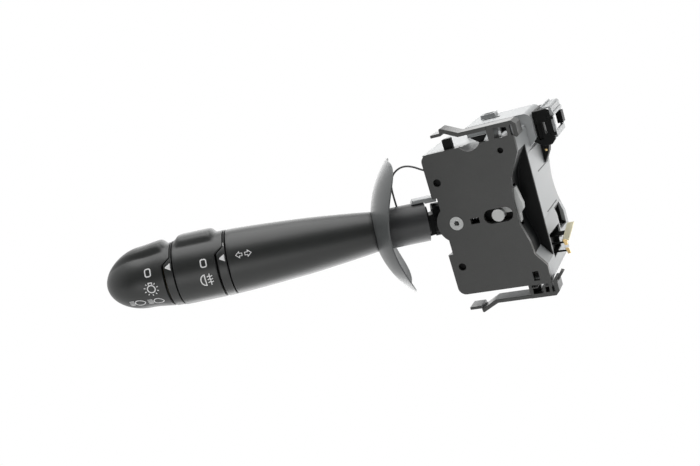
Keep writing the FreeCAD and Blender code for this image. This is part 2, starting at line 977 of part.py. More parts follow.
scoop.Placement = Placement(
    Vector(size.notch_x.value, row_y(size.cover_thick).value, scoop_z.value), Rotation(Vector(1, 0, 0), -90)
)
socket_low = -size.socket_high - size.socket_tall
socket_front = back_inside - size.socket_gap - size.socket_wide
layer_cut(
    rear_carrier,
    "socket_window",
    socket_front,
    size.socket_wide,
    lambda p: p.box(
        inside_right - size.carrier_wall, size.case_right + size.lower_flare * 2.0, socket_low, -size.socket_high
    ),
)
layer_cut(
    rear_carrier,
    "blade_window",
    size.blade_block_front,
    size.blade_block_deep,
    lambda p: p.box(
        inside_right - size.carrier_wall,
        size.case_right + size.lower_flare * 2.0,
        -size.blade_block_low,
        -size.blade_block_high,
    ),
)

# Slot frame on the hump
layer(
    rear_carrier,
    "slot_frame",
    size.frame_front,
    size.frame_back - size.frame_front,
    lambda p: p.box(
        size.frame_left, size.frame_right, size.hump_top - size.running, size.hump_top + size.frame_rise
    ),
)
frame_slot = Profile(rear_carrier, "frame_slot_outline", "XY_Plane", size.hump_top + size.frame_rise)
frame_slot.box(
    size.frame_left + size.frame_wall,
    size.frame_right - size.frame_wall,
    row_y(size.frame_front + size.frame_wall),
    row_y(size.frame_back - size.frame_wall),
)
pocket(rear_carrier, "frame_slot", frame_slot, size.frame_rise)

# Black liner of the column recess, with the finger's window and the recess floor
saddle_liner = new_body("saddle_liner")
hidden = [(x - size.liner_wall, z) for x, z in saddle_line()]
layer(
    saddle_liner,
    "liner_wall",
    size.cover_thick,
    size.saddle_depth,
    lambda p: p.polygon(
        [(size.case_right, size.saddle_top)]
        + saddle_line()
        + list(reversed(hidden))
        + [(size.case_right - size.liner_wall * 1.5, size.saddle_top)]
    ),
)
layer(
    saddle_liner,
    "liner_floor",
    recess_back,
    size.liner_wall,
    lambda p: p.polygon(
        [(size.case_right, size.saddle_top), (size.case_right - size.liner_wall * 1.5, size.saddle_top)]
        + list(hidden)
        + [(size.saddle_foot_x, -size.saddle_foot_z), (size.case_right, -size.saddle_bottom)]
    ),
)
finger_front = size.cover_thick + size.slack * 1.5
finger_window = Profile(saddle_liner, "finger_window_outline", "YZ_Plane", size.saddle_deepest + size.carrier_wall * 2.0)
finger_window.box(
    row_y(size.cover_thick),
    row_y(finger_front + size.finger_thick + size.slack),
    -size.finger_low_z - size.liner_wall,
    size.finger_high_z + size.liner_wall,
)
pocket(saddle_liner, "finger_window", finger_window, size.carrier_wall * 4.0)

# Black pins that hold the cover on the carrier's posts
cover_pins = new_body("cover_pins")
layer(
    cover_pins,
    "pins",
    size.pin_sink,
    size.cover_thick + size.arm_depth - size.carrier_wall - size.pin_sink,
    lambda p: pin_places(p, size.pin_hole_radius - size.running, size.small_hole_radius - size.running),
)

# Stop under the upper latch arm and the small fin beside the scoop
arm_stops = new_body("arm_stops")
layer(
    arm_stops,
    "upper_stop",
    size.cover_thick + size.slack,
    size.stop_deep,
    lambda p: p.box(size.stop_x, size.stop_x + size.stop_wide, carrier_top, carrier_top + size.stop_tall),
)
layer(
    arm_stops,
    "fin",
    size.cover_thick + size.slack,
    size.fin_thick,
    lambda p: p.polygon(
        [
            (size.fin_x + size.fin_wide * 0.5, carrier_top),
            (size.fin_x + size.fin_wide * 0.7, carrier_top),
            (size.fin_x + size.fin_wide, carrier_top + size.fin_tall),
            (size.fin_x, carrier_top + size.fin_tall),
        ]
    ),
)


# Latch arms
def latch_arm(name, sign):
    arm = new_body(name)
    inner, outer = arm_band(sign)
    hook = mirrored_up(sign, size.arm_hook_rise)
    step = mirrored_up(sign, size.arm_tab_rise)
    tab = mirrored_up(sign, size.arm_thick * 0.75)
    shift = NONE if sign > 0 else size.arm_shift
    hook_x = size.arm_hook_x - shift
    knee_x = size.arm_knee_x - shift
    tab_x = size.arm_tab_x - shift * 1.3
    chamfer = size.arm_thick * 0.4
    corners = [
        (size.arm_root_x, outer),
        (size.arm_root_x, inner),
        (knee_x - chamfer, inner),
        (hook_x, inner + hook * 0.95),
        (hook_x - chamfer * 0.5, inner + step),
        (tab_x, inner + step),
        (tab_x, inner + step + tab),
        (hook_x - chamfer, inner + step + tab),
        (hook_x - chamfer, outer + hook * 0.9),
        (hook_x, outer + hook),
        (knee_x, outer),
    ]
    layer(arm, name + "_band", NONE, size.arm_depth, lambda p: p.polygon(corners))
    layer(
        arm,
        name + "_round",
        NONE,
        size.arm_depth,
        lambda p: p.disc(size.arm_root_x, (inner + outer) / 2.0, size.arm_thick / 2.0),
    )
    return arm


top_latch_arm = latch_arm("top_latch_arm", 1)
bottom_latch_arm = latch_arm("bottom_latch_arm", -1)

# Contact board behind the turn slider, with its guide ribs
guide_gap = size.running * 2.0
contact_board = new_body("contact_board")
layer(
    contact_board,
    "board",
    size.board_front,
    size.board_thick,
    lambda p: p.box(-size.board_left, size.board_right, -size.board_low, -size.board_high),
)
slider_thick = size.board_front - size.track_thick - size.carrier_wall * 0.4 - size.slider_front
layer(
    contact_board,
    "slider_ribs",
    size.slider_front,
    size.board_front - size.slider_front,
    lambda p: p.box(
        -size.board_left,
        size.board_right * 0.7,
        -size.slider_high + guide_gap,
        -size.slider_high + guide_gap + size.guide_thick,
    ).box(
        -size.board_left,
        size.board_right * 0.7,
        -size.slider_low - guide_gap - size.guide_thick,
        -size.slider_low - guide_gap,
    ),
)
board_tracks = new_body("board_tracks")
track_front = size.board_front - size.track_thick
track_step = (size.slider_low - size.slider_high) / 3.0


def turn_tracks(profile):
    for lane in range(3):
        high = -size.slider_high - track_step * (lane + 0.2)
        profile.box(size.track_thick, size.board_right * 0.65, high - track_step * 0.6, high)
    return profile


layer(board_tracks, "tracks", track_front, size.track_thick, turn_tracks)

# Turn slider and its bridging contacts
turn_slider = new_body("turn_slider")
pin_gap = size.turn_pin_radius + guide_gap
layer(
    turn_slider,
    "slider_plate",
    size.slider_front,
    slider_thick,
    lambda p: p.box(-pin_gap - size.slider_frame, size.slider_right, -size.slider_low, -size.slider_high),
)
layer_cut(
    turn_slider,
    "pin_slot",
    size.slider_front,
    slider_thick,
    lambda p: p.box(-pin_gap, pin_gap, -size.turn_arm - pin_gap - size.slack * 3.0, -size.turn_arm + pin_gap + size.slack),
)
turn_bridge = new_body("turn_bridge")
bridge_front = size.slider_front + slider_thick


def bridge_pads(profile):
    for lane in range(3):
        middle = -size.slider_high - track_step * (lane + 0.5)
        for x in (size.slider_right * 0.35, size.slider_right * 0.8):
            profile.disc(x, middle, track_step * 0.25)
    return profile


layer(turn_bridge, "bridge_pads", bridge_front, track_front - bridge_front - size.running, bridge_pads)

# Gimbal cradle: a ring on two trunnions, with the turn slider's drive arm
cheek_outside = size.cheek_inside + size.cheek_thick
gimbal_cradle = new_body("gimbal_cradle")
layer(
    gimbal_cradle,
    "ring_block",
    size.cradle_front,
    size.cradle_length,
    lambda p: p.box(-size.cradle_half_wide, size.cradle_half_wide, -cheek_outside, cheek_outside),
)
layer_cut(
    gimbal_cradle,
    "ring_room",
    size.cradle_front + size.cradle_rail,
    size.cradle_length - size.cradle_rail * 2.0,
    lambda p: p.box(
        -size.cradle_half_wide * 2.0, size.cradle_half_wide * 2.0, -size.cheek_inside, size.cheek_inside
    ),
)
layer(
    gimbal_cradle,
    "front_trunnion",
    NONE,
    size.cradle_front,
    lambda p: p.disc(NONE, NONE, size.trunnion_radius),
)
layer_cut(
    gimbal_cradle,
    "trunnion_bore",
    NONE,
    size.cradle_front,
    lambda p: p.disc(NONE, NONE, size.trunnion_bore),
)
cradle_back = size.cradle_front + size.cradle_length
layer(
    gimbal_cradle,
    "rear_trunnion",
    cradle_back,
    size.rear_trunnion_length,
    lambda p: p.disc(NONE, NONE, size.rear_trunnion_radius),
)
layer(
    gimbal_cradle,
    "drive_arm",
    cradle_back - size.cradle_rail,
    size.cradle_rail,
    lambda p: p.box(
        -size.turn_pin_radius * 1.6, size.turn_pin_radius * 1.6, -size.turn_arm - size.turn_pin_radius * 1.6, -cheek_outside
    ),
)
layer(
    gimbal_cradle,
    "drive_pin",
    cradle_back - size.cradle_rail,
    bridge_front - cradle_back + size.cradle_rail - size.slack,
    lambda p: p.disc(NONE, -size.turn_arm, size.turn_pin_radius),
)
pin_hole = Profile(gimbal_cradle, "pin_hole_outline", "XY_Plane", cheek_outside)
pin_hole.disc(NONE, row_y(size.pivot_depth), size.cross_pin_radius)
pocket(gimbal_cradle, "pin_hole", pin_hole, cheek_outside * 2.0)

# Steel cross pin, pressed in the cheeks
cross_pin = new_body("cross_pin")
pin_profile = Profile(cross_pin, "pin_outline", "XY_Plane", -cheek_outside)
pin_profile.disc(NONE, row_y(size.pivot_depth), size.cross_pin_radius)
pad(cross_pin, "pin", pin_profile, cheek_outside * 2.0)

# Frames of the leaning pieces
pivot = Vector(0, row_y(size.pivot_depth).value, 0)
lean = math.radians(size.stalk_lean.value)
rise = math.radians(size.stalk_rise.value)
level_way = Vector(-math.cos(lean), -math.sin(lean), 0)
stalk_way = Vector(level_way.x * math.cos(rise), level_way.y * math.cos(rise), math.sin(rise))
stalk_up = Vector(-level_way.x * math.sin(rise), -level_way.y * math.sin(rise), math.cos(rise))


def frame_of(way, up):
    side = up.cross(way)
    return Placement(pivot, Rotation(way, side, up, "XYZ"))


level_place = frame_of(level_way, Vector(0, 0, 1))
stalk_place = frame_of(stalk_way, stalk_up)

# Stalk root: pivot lug, flat neck, round plug and a tail with the plunger's bore
stalk_root = new_body("stalk_root")
neck = Profile(stalk_root, "neck_outline", "XY_Plane", -size.neck_half_tall)
neck.box(NONE, size.plug_start + size.root_half_thick, -size.root_half_thick, size.root_half_thick)
pad(stalk_root, "neck", neck, size.neck_half_tall * 2.0)
lug = Profile(stalk_root, "lug_outline", "XY_Plane", -size.root_half_tall)
lug.disc(NONE, NONE, size.lug_radius)
pad(stalk_root, "lug", lug, size.root_half_tall * 2.0)
tail = Profile(stalk_root, "tail_outline", "XY_Plane", -size.tail_half_tall)
tail.box(-size.tail_length, NONE, -size.root_half_thick, size.root_half_thick)
pad(stalk_root, "tail", tail, size.tail_half_tall * 2.0)
peg = Profile(stalk_root, "peg_outline", "XY_Plane")
peg.disc(-size.beam_peg_reach, NONE, size.beam_peg_radius)
pad(stalk_root, "peg", peg, size.beam_peg_top)
lug_bore = Profile(stalk_root, "lug_bore_outline", "XY_Plane", size.root_half_tall)
lug_bore.disc(NONE, NONE, size.cross_pin_radius + size.running)
pocket(stalk_root, "lug_bore", lug_bore, size.root_half_tall * 2.0)
plunger_bore = Profile(stalk_root, "plunger_bore_outline", "YZ_Plane", -size.tail_length)
plunger_bore.disc(NONE, NONE, size.plunger_radius + size.running)
pocket(stalk_root, "plunger_bore", plunger_bore, size.bore_depth, backwards=True)
plug = stalk_root.newObject("PartDesign::AdditiveCylinder", "plug")
plug.Radius = size.core_radius.value
plug.setExpression("Radius", size.core_radius.text)
plug.Height = (size.plug_end - size.plug_start).value
plug.setExpression("Height", (size.plug_end - size.plug_start).text)
plug_base = Vector(
    size.plug_start.value * math.cos(rise), 0, size.plug_start.value * math.sin(rise)
)
plug.Placement = Placement(plug_base, Rotation(Vector(0, 1, 0), 90 - size.stalk_rise.value))
stalk_root.Placement = level_place

# Detent plunger and its spring, in the tail
plunger_back = -size.plunger_reach + size.plunger_length
detent_plunger = new_body("detent_plunger")
dome = -size.plunger_reach + size.plunger_radius
plunger_profile = Profile(detent_plunger, "plunger_outline", "XZ_Plane")
plunger_profile.polygon(
    [
        (-size.plunger_reach, NONE, size.plunger_radius),
        (dome, size.plunger_radius),
        (plunger_back, size.plunger_radius),
        (plunger_back, NONE),
    ]
)
turned(detent_plunger, "Revolution", "plunger", plunger_profile)
detent_plunger.Placement = level_place

# Detent cam: a dished block with one groove for each of the stalk's three stops
cam_block = doc.addObject("Part::Box", "cam_block")
cam_block.setExpression("Length", (size.cam_far - size.cam_near).text)
cam_block.setExpression("Width", (back_inside - size.cam_front).text)
cam_block.setExpression("Height", (size.cam_wide * 2.0).text)
cam_block.Placement = Placement(
    Vector(size.cam_near.value, row_y(size.cam_front).value, -size.cam_wide.value), Rotation()
)
cam_dish = doc.addObject("Part::Sphere", "cam_dish")
dish_radius = size.plunger_reach + size.slack
cam_dish.setExpression("Radius", dish_radius.text)
cam_dish.Placement = Placement(pivot, Rotation())
cam_tools = [cam_dish]
for number, stop in enumerate((-1, 0, 1)):
    groove = doc.addObject("Part::Torus", "cam_groove_%d" % number)
    groove.setExpression("Radius1", (size.plunger_reach - size.detent_radius + size.plunger_travel).text)
    groove.setExpression("Radius2", size.detent_radius.text)
    groove.Angle1 = -180
    groove.Angle2 = 180
    groove.Angle3 = 360
    groove.Placement = Placement(pivot, Rotation(Vector(0, 1, 0), stop * size.turn_angle.value))
    cam_tools.append(groove)
cam_cutter = doc.addObject("Part::MultiFuse", "cam_cutter")
cam_cutter.Shapes = cam_tools
detent_cam = doc.addObject("Part::Cut", "detent_cam")
detent_cam.Base = cam_block
detent_cam.Tool = cam_cutter
detent_cam.Label = "detent_cam"

# Beam slider under its own board, driven by the tail's peg
beam_board = new_body("beam_board")
beam_top = size.beam_slider_low + size.beam_slider_thick
board_profile = Profile(beam_board, "board_outline", "XY_Plane", size.beam_board_low)
leg = size.guide_thick * 1.2
rail_left = size.beam_slider_left - guide_gap
rail_right = size.beam_slider_right + guide_gap
board_y_front = row_y(size.beam_slider_front - size.slack * 3.0)
board_y_back = row_y(size.beam_slider_back + size.beam_travel + size.slack * 4.0)
board_profile.box(rail_left - leg, rail_right + leg, board_y_front, board_y_back)
pad(beam_board, "board", board_profile, size.board_thick)
rails = Profile(beam_board, "rails_outline", "XY_Plane", size.beam_board_low)
rails.box(rail_left - leg, rail_left, board_y_front, board_y_back)
rails.box(rail_right, rail_right + leg, board_y_front, board_y_back)
pad(beam_board, "rails", rails, size.beam_board_low - size.beam_slider_low, backwards=True)
hangers = Profile(beam_board, "hangers_outline", "XY_Plane", size.beam_board_low)
hangers.box(rail_left - leg, rail_left + leg, board_y_front, board_y_back)
hangers.box(rail_right - leg, rail_right + leg, board_y_front, board_y_back)
pad(beam_board, "hangers", hangers, inside_top - size.beam_board_low)
tongue = size.guide_thick * 0.6
grooves = Profile(beam_board, "grooves_outline", "XZ_Plane", -board_y_front)
groove_low = size.beam_slider_low + size.beam_slider_thick * 0.25
groove_high = size.beam_slider_low + size.beam_slider_thick * 0.75
grooves.box(rail_left - tongue, rail_left, groove_low - guide_gap, groove_high + guide_gap)
grooves.box(rail_right, rail_right + tongue, groove_low - guide_gap, groove_high + guide_gap)
pocket(beam_board, "grooves", grooves, board_y_back - board_y_front)

beam_slider = new_body("beam_slider")
beam_plate = Profile(beam_slider, "plate_outline", "XY_Plane", size.beam_slider_low)
beam_plate.box(
    size.beam_slider_left, size.beam_slider_right, row_y(size.beam_slider_front), row_y(size.beam_slider_back)
)
pad(beam_slider, "plate", beam_plate, size.beam_slider_thick)
tongues = Profile(beam_slider, "tongues_outline", "XY_Plane", groove_low)
tongues.box(
    size.beam_slider_left - tongue + guide_gap,
    size.beam_slider_right + tongue - guide_gap,
    row_y(size.beam_slider_front),
    row_y(size.beam_slider_back),
)
pad(beam_slider, "tongues", tongues, size.beam_slider_thick * 0.5)
peg_x = size.beam_peg_reach * cosine(size.stalk_lean)
peg_y = row_y(size.pivot_depth + size.beam_peg_reach * sine(size.stalk_lean))
peg_half = size.beam_peg_radius + guide_gap
swing = size.beam_peg_top * sine(size.turn_angle) + size.beam_peg_radius + size.slack * 3.0
peg_slot = Profile(beam_slider, "peg_slot_outline", "XY_Plane", beam_top)
peg_slot.box(peg_x - swing - size.slack, peg_x + swing, peg_y - peg_half, peg_y + peg_half)
pocket(beam_slider, "peg_slot", peg_slot, size.beam_slider_thick)

beam_bridge = new_body("beam_bridge")
beam_pads = Profile(beam_bridge, "pads_outline", "XY_Plane", beam_top)
for x in (size.beam_slider_left + size.guide_thick * 1.6, size.beam_slider_right - size.guide_thick * 1.6):
    beam_pads.disc(x, row_y(size.beam_slider_front + size.guide_thick), size.guide_thick * 0.6)
    beam_pads.disc(x, row_y(size.beam_slider_back - size.guide_thick), size.guide_thick * 0.6)
track_low = size.beam_board_low - size.track_thick
pad(beam_bridge, "pads", beam_pads, track_low - beam_top - size.running)

beam_tracks = new_body("beam_tracks")
beam_track_profile = Profile(beam_tracks, "tracks_outline", "XY_Plane", track_low)
for x in (size.beam_slider_left + size.guide_thick * 1.6, size.beam_slider_right - size.guide_thick * 1.6):
    beam_track_profile.box(x - size.guide_thick * 0.8, x + size.guide_thick * 0.8, board_y_front, board_y_back)
pad(beam_tracks, "tracks", beam_track_profile, size.track_thick)

# Cancel finger: white pin, bar and nose, on a black carriage that runs between the guides
cancel_finger = new_body("cancel_finger")
finger_high = size.slot_z + size.finger_half_tall
finger_low = size.slot_z - size.finger_half_tall
layer(
    cancel_finger,
    "finger_nose",
    finger_front,
    size.finger_thick,
    lambda p: p.polygon(
        [
            (size.finger_neck_x, finger_low),
            (size.finger_neck_x + size.guide_thick, -size.finger_low_z),
            (size.finger_low_x, -size.finger_low_z),
            (size.finger_step_x, -size.finger_step_z),
            (size.finger_chin_x, size.finger_bar_low),
            (size.finger_nose_x, size.finger_nose_z),
            (size.finger_high_x, size.finger_high_z),
            (size.finger_neck_x + size.guide_thick, size.finger_high_z),
            (size.finger_neck_x, finger_high),
        ]
    ),
)
layer(
    cancel_finger,
    "finger_bar",
    finger_front,
    size.finger_face,
    lambda p: p.box(
        size.finger_pin_x, size.finger_neck_x + size.running, size.finger_bar_low, size.finger_bar_high
    ),
)
layer(
    cancel_finger,
    "finger_pin",
    NONE,
    finger_front + size.finger_face,
    lambda p: p.disc(size.finger_pin_x, size.slot_z, size.finger_pin_radius),
)
finger_carriage = new_body("finger_carriage")
layer(
    finger_carriage,
    "carriage_bar",
    finger_front + size.finger_face,
    size.finger_thick - size.finger_face,
    lambda p: p.box(size.finger_left, size.finger_neck_x, finger_low, finger_high),
)


# A coil spring as a row of rings on a thin inner sleeve
def coil(body, along, start, length, centre, radius, turns):
    profile = Profile(body, body.Label + "_outline", "XZ_Plane", along)
    thin = size.spring_wire / 2.0
    step = length / turns
    corners = [(start, centre + radius - thin * 1.5)]
    for turn in range(turns):
        crest = start + step * (turn + 0.5)
        valley = start + step * (turn + 1.0)
        corners.append((crest, centre + radius))
        corners.append((valley, centre + radius - thin))
    corners.append((start + length, centre + radius - thin * 2.5))
    corners.append((start, centre + radius - thin * 2.5))
    return profile, corners


finger_spring = new_body("finger_spring")
spring_axis_y = row_y(finger_front + size.finger_thick / 2.0)
spring_length = size.finger_left - size.spring_stop_x
spring_profile, spring_corners = coil(
    finger_spring, NONE, NONE, spring_length, NONE, size.finger_spring_radius, 6
)
spring_profile.polygon(spring_corners)
turned(finger_spring, "Revolution", "coils", spring_profile)
finger_spring.Placement = Placement(
    Vector(size.spring_stop_x.value, spring_axis_y.value, size.slot_z.value), Rotation()
)

plunger_spring = new_body("plunger_spring")
bore_end = -size.tail_length + size.bore_depth
plunger_profile, plunger_corners = coil(
    plunger_spring, NONE, plunger_back, bore_end - plunger_back, NONE, size.plunger_radius - size.running, 5
)
plunger_profile.polygon(plunger_corners)
turned(plunger_spring, "Revolution", "coils", plunger_profile)
plunger_spring.Placement = level_place

# Shaft tube between the root and the collar
shaft_end = size.shield_radius - size.shaft_radius * size.shaft_radius / size.shield_radius / 2.0 - size.running
stalk_shaft = new_body("stalk_shaft")
shaft_profile = Profile(stalk_shaft, "shaft_outline", "XZ_Plane")
shaft_profile.polygon(
    [
        (size.shaft_start, size.shaft_radius - size.mouth_wall),
        (size.shaft_start + size.mouth_depth, size.shaft_radius - size.mouth_wall),
        (size.shaft_start + size.mouth_depth, size.core_radius),
        (shaft_end, size.core_radius),
        (shaft_end, size.shaft_radius),
        (size.shaft_start, size.shaft_radius),
    ]
)
turned(stalk_shaft, "Revolution", "tube", shaft_profile)
stalk_shaft.Placement = stalk_place

# Pale key on top of the shaft
shaft_key = new_body("shaft_key")
key_profile = Profile(shaft_key, "key_outline", "XZ_Plane", -size.key_half_wide)
key_profile.polygon(
    [
        (size.key_start, size.shaft_radius - size.key_rise * 0.4),
        (size.shaft_start - size.slack, size.shaft_radius - size.key_rise * 0.4),
        (size.shaft_start - size.slack, size.shaft_radius + size.running),
        (size.key_end, size.shaft_radius + size.running),
        (size.key_end - size.key_rise / 2.0, size.shaft_radius + size.key_rise),
        (size.key_start, size.shaft_radius + size.key_rise),
    ]
)
pad(shaft_key, "key", key_profile, size.key_half_wide * 2.0)
shaft_key.Placement = stalk_place

# Collar shield: a dished plate, a piece of a sphere round the pivot
collar_shield = new_body("collar_shield")
shield_profile = Profile(collar_shield, "shield_outline", "YZ_Plane", size.shield_radius * 0.5)
shield_profile.box(-size.shield_half_deep, size.shield_half_deep, -size.shield_half_tall, size.shield_half_tall)
pad(collar_shield, "shield_block", shield_profile, size.shield_radius)
rounded(
    collar_shield,
    "shield_corners",
    size.shield_round,
    lambda edge: len(edge.Vertexes) == 2
    and abs(edge.Vertexes[0].Point.y - edge.Vertexes[1].Point.y) < 1e-6
    and abs(edge.Vertexes[0].Point.z - edge.Vertexes[1].Point.z) < 1e-6,
)
outer_limit = size.shield_radius * 3.0
shield_cut = Profile(collar_shield, "sphere_outline", "XZ_Plane")
shield_far = size.shield_radius + size.shield_thick
shield_cut.polygon(
    [
        (shield_far, NONE, -shield_far),
        (NONE, shield_far),
        (NONE, outer_limit),
        (outer_limit, outer_limit),
        (outer_limit, NONE),
    ]
)
turned(collar_shield, "Groove", "outer_sphere", shield_cut)
shield_inner = Profile(collar_shield, "inner_sphere_outline", "XZ_Plane")
shield_inner.polygon(
    [
        (size.shield_radius, NONE),
        (NONE, NONE),
        (NONE, size.shield_radius, size.shield_radius),
    ]
)
turned(collar_shield, "Groove", "inner_sphere", shield_inner)
shield_hole = Profile(collar_shield, "shield_hole_outline", "YZ_Plane", size.shield_radius * 1.2)
shield_hole.disc(NONE, NONE, size.core_radius)
pocket(collar_shield, "shield_hole", shield_hole, size.shield_radius)
collar_shield.Placement = stalk_place

# Tapered stalk body
body_start = size.shield_radius + size.shield_thick
stalk_body = new_body("stalk_body")
body_profile = Profile(stalk_body, "body_outline", "XZ_Plane")
thin_start = body_start + size.mouth_depth
body_profile.polygon(
    [
        (body_start, size.body_small_radius),
        (body_start + size.body_lower_length, size.body_lower_radius),
        (body_start + size.body_lower_length + size.body_upper_length * 0.6, size.body_upper_radius),
        (size.body_end - size.body_upper_length * 0.4, size.body_large_radius - size.body_wall * 0.3),
        (size.body_end, size.body_large_radius),
        (size.body_end, size.body_large_radius - size.body_wall),
        (thin_start, size.core_radius + size.running),
        (thin_start, size.core_radius),
        (body_start, size.core_radius),
    ]
)
turned(stalk_body, "Revolution", "tapered_shell", body_profile)
stalk_body.Placement = stalk_place

# Core tube that carries the rings and knobs
core_tube = new_body("core_tube")
core_profile = Profile(core_tube, "core_outline", "XZ_Plane")
core_profile.polygon(
    [
        (size.plug_end, size.core_bore),
        (size.core_end, size.core_bore),
        (size.core_end, size.core_radius),
        (size.plug_end, size.core_radius),
    ]
)
turned(core_tube, "Revolution", "tube", core_profile)
core_tube.Placement = stalk_place

# Fixed rings, each with a tooth that its knob's grip ridge passes over
sweep_gap = size.ridge_start_angle * 0.03


def wedge(profile, start, end):
    """A sector of a disc round the stalk's axis, angles from local Y towards local Z."""
    reach = size.ring_radius * 4.0
    middle = (start + end) / 2.0
    return profile.polygon(
        [
            (NONE, NONE),
            (reach * cosine(start), reach * sine(start)),
            (reach * cosine(middle), reach * sine(middle)),
            (reach * cosine(end), reach * sine(end)),
        ]
    )


def tube(body, label, start, end, outside, inside):
    profile = Profile(body, label + "_outline", "YZ_Plane", start)
    profile.disc(NONE, NONE, outside)
    profile.disc(NONE, NONE, inside)
    return pad(body, label, profile, end - start)


knob_fit = size.core_radius + size.running

inner_fixed_ring = new_body("inner_fixed_ring")
inner_start = size.body_end * 1.0
inner_web_end = inner_start + size.inner_ring_web
tube(inner_fixed_ring, "inner_ring", inner_start, size.inner_ring_end, size.ring_radius, size.core_radius)
inner_sector = Profile(inner_fixed_ring, "inner_sector_outline", "YZ_Plane", inner_web_end)
wedge(inner_sector, size.ridge_start_angle - sweep_gap, size.ridge_end_angle + size.fog_turn + sweep_gap)
pocket(inner_fixed_ring, "inner_sector", inner_sector, size.shield_radius, backwards=True)
inner_fixed_ring.Placement = stalk_place

outer_fixed_ring = new_body("outer_fixed_ring")
outer_start = size.fog_end + size.seam
outer_web_end = outer_start + size.outer_ring_web
tube(outer_fixed_ring, "outer_ring", outer_start, size.outer_ring_end, size.ring_radius - size.seam, size.core_radius)
outer_sector = Profile(outer_fixed_ring, "outer_sector_outline", "YZ_Plane", outer_web_end)
wedge(outer_sector, size.ridge_start_angle - sweep_gap, size.ridge_end_angle + size.light_turn + sweep_gap)
pocket(outer_fixed_ring, "outer_sector", outer_sector, size.shield_radius, backwards=True)
outer_fixed_ring.Placement = stalk_place


def grip_ridge(body, label, corners):
    profile = Profile(body, label + "_outline", "XZ_Plane", -size.ridge_half_wide)
    profile.polygon(corners)
    return pad(body, label, profile, size.ridge_half_wide * 2.0)



def swept_tab(body, label, start, end, outside, inside):
    """The part of a knob's rim that runs in the fixed ring's recess."""
    tube(body, label + "_ring", start, end, outside, inside)
    rest = Profile(body, label + "_rest_outline", "YZ_Plane", start)
    wedge(rest, size.ridge_end_angle, size.ridge_start_angle + 360.0)
    return pocket(body, label, rest, size.shield_radius, backwards=True)


# Rear fog ring
fog_ring = new_body("fog_ring")
fog_start = size.inner_ring_end + size.seam
inner_face = size.ring_radius - size.knob_wall
tab_start = inner_web_end + size.seam
swept_tab(fog_ring, "fog_tab", tab_start, fog_start + size.running, size.ring_radius, inner_face)
fog_shell = Profile(fog_ring, "fog_shell_outline", "XZ_Plane")
fog_shell.polygon(
    [
        (fog_start, inner_face),
        (size.fog_web_start, inner_face),
        (size.fog_web_start, knob_fit),
        (size.fog_web_start + size.web_thick, knob_fit),
        (size.fog_web_start + size.web_thick, inner_face),
        (size.fog_end, inner_face),
        (size.fog_end, size.ring_radius),
        (fog_start, size.ring_radius),
    ]
)
turned(fog_ring, "Revolution", "fog_shell", fog_shell)
grip_ridge(
    fog_ring,
    "fog_ridge",
    [
        (size.fog_ridge_start, inner_face + size.seam),
        (size.fog_ridge_end, inner_face + size.seam),
        (size.fog_ridge_end, size.ring_radius - size.seam),
        (size.fog_ridge_end - size.ridge_slope, size.fog_ridge_height),
        (size.fog_ridge_start + size.ridge_slope, size.fog_ridge_height),
        (size.fog_ridge_start, size.ring_radius - size.seam),
    ],
)
fog_ring.Placement = stalk_place

# Light knob at the stalk's end, a hollow rounded cap
light_knob = new_body("light_knob")
light_start = size.outer_ring_end + size.seam
light_tab_start = outer_web_end + size.seam
mouth_inner = size.knob_mouth_radius - size.knob_wall
mid_inner = size.knob_mid_radius - size.knob_wall
nose_inner = size.knob_nose_radius - size.knob_wall
swept_tab(
    light_knob,
    "light_tab",
    light_tab_start,
    light_start + size.running,
    size.knob_mouth_radius - size.running * 2.0,
    mouth_inner,
)
web_end = size.light_web_start + size.web_thick
nose_length = size.knob_tip - size.knob_nose
nose_drop = size.knob_nose_radius - size.knob_tip_flat
nose_bulge = (nose_length * nose_length + nose_drop * nose_drop) / (nose_length * 2.0)
cap_shell = Profile(light_knob, "cap_outline", "XZ_Plane")
cap_shell.polygon(
    [
        (light_start, size.knob_mouth_radius),
        (light_start + size.knob_mid_in * 0.5, size.knob_mouth_radius - size.knob_wall * 0.3),
        (size.knob_mid, size.knob_mid_radius),
        (size.knob_mid + (size.knob_nose - size.knob_mid) * 0.6, size.knob_nose_radius + size.knob_wall * 0.8),
        (size.knob_nose, size.knob_nose_radius, nose_bulge),
        (size.knob_tip, size.knob_tip_flat),
        (size.knob_tip, NONE),
        (size.knob_tip - size.knob_wall, NONE),
        (size.knob_tip - size.knob_wall, size.knob_tip_flat),
        (size.knob_nose - size.knob_wall * 0.4, nose_inner),
        (size.knob_mid, mid_inner),
        (web_end, mouth_inner - size.slack),
        (web_end, knob_fit),
        (size.light_web_start, knob_fit),
        (size.light_web_start, mouth_inner),
        (light_start, mouth_inner),
    ]
)
turned(light_knob, "Revolution", "cap", cap_shell)
wall_middle = size.knob_wall * 0.6
grip_ridge(
    light_knob,
    "light_ridge",
    [
        (size.outer_ring_end - size.slack * 2.0, size.knob_mouth_radius - wall_middle),
        (size.knob_mid, size.knob_mid_radius - wall_middle),
        (size.light_ridge_foot, size.knob_nose_radius - size.slack),
        (size.light_ridge_foot + size.ridge_slope * 0.6, size.knob_nose_radius - size.slack),
        (size.light_ridge_mid, size.light_ridge_mid_height),
        (size.light_ridge_peak + size.light_ridge_flat, size.light_ridge_height - size.slack),
        (size.light_ridge_peak, size.light_ridge_height),
        (size.outer_ring_end - size.slack * 2.0, size.light_ridge_height - size.ridge_slope * 0.3),
    ],
)
light_knob.Placement = stalk_place


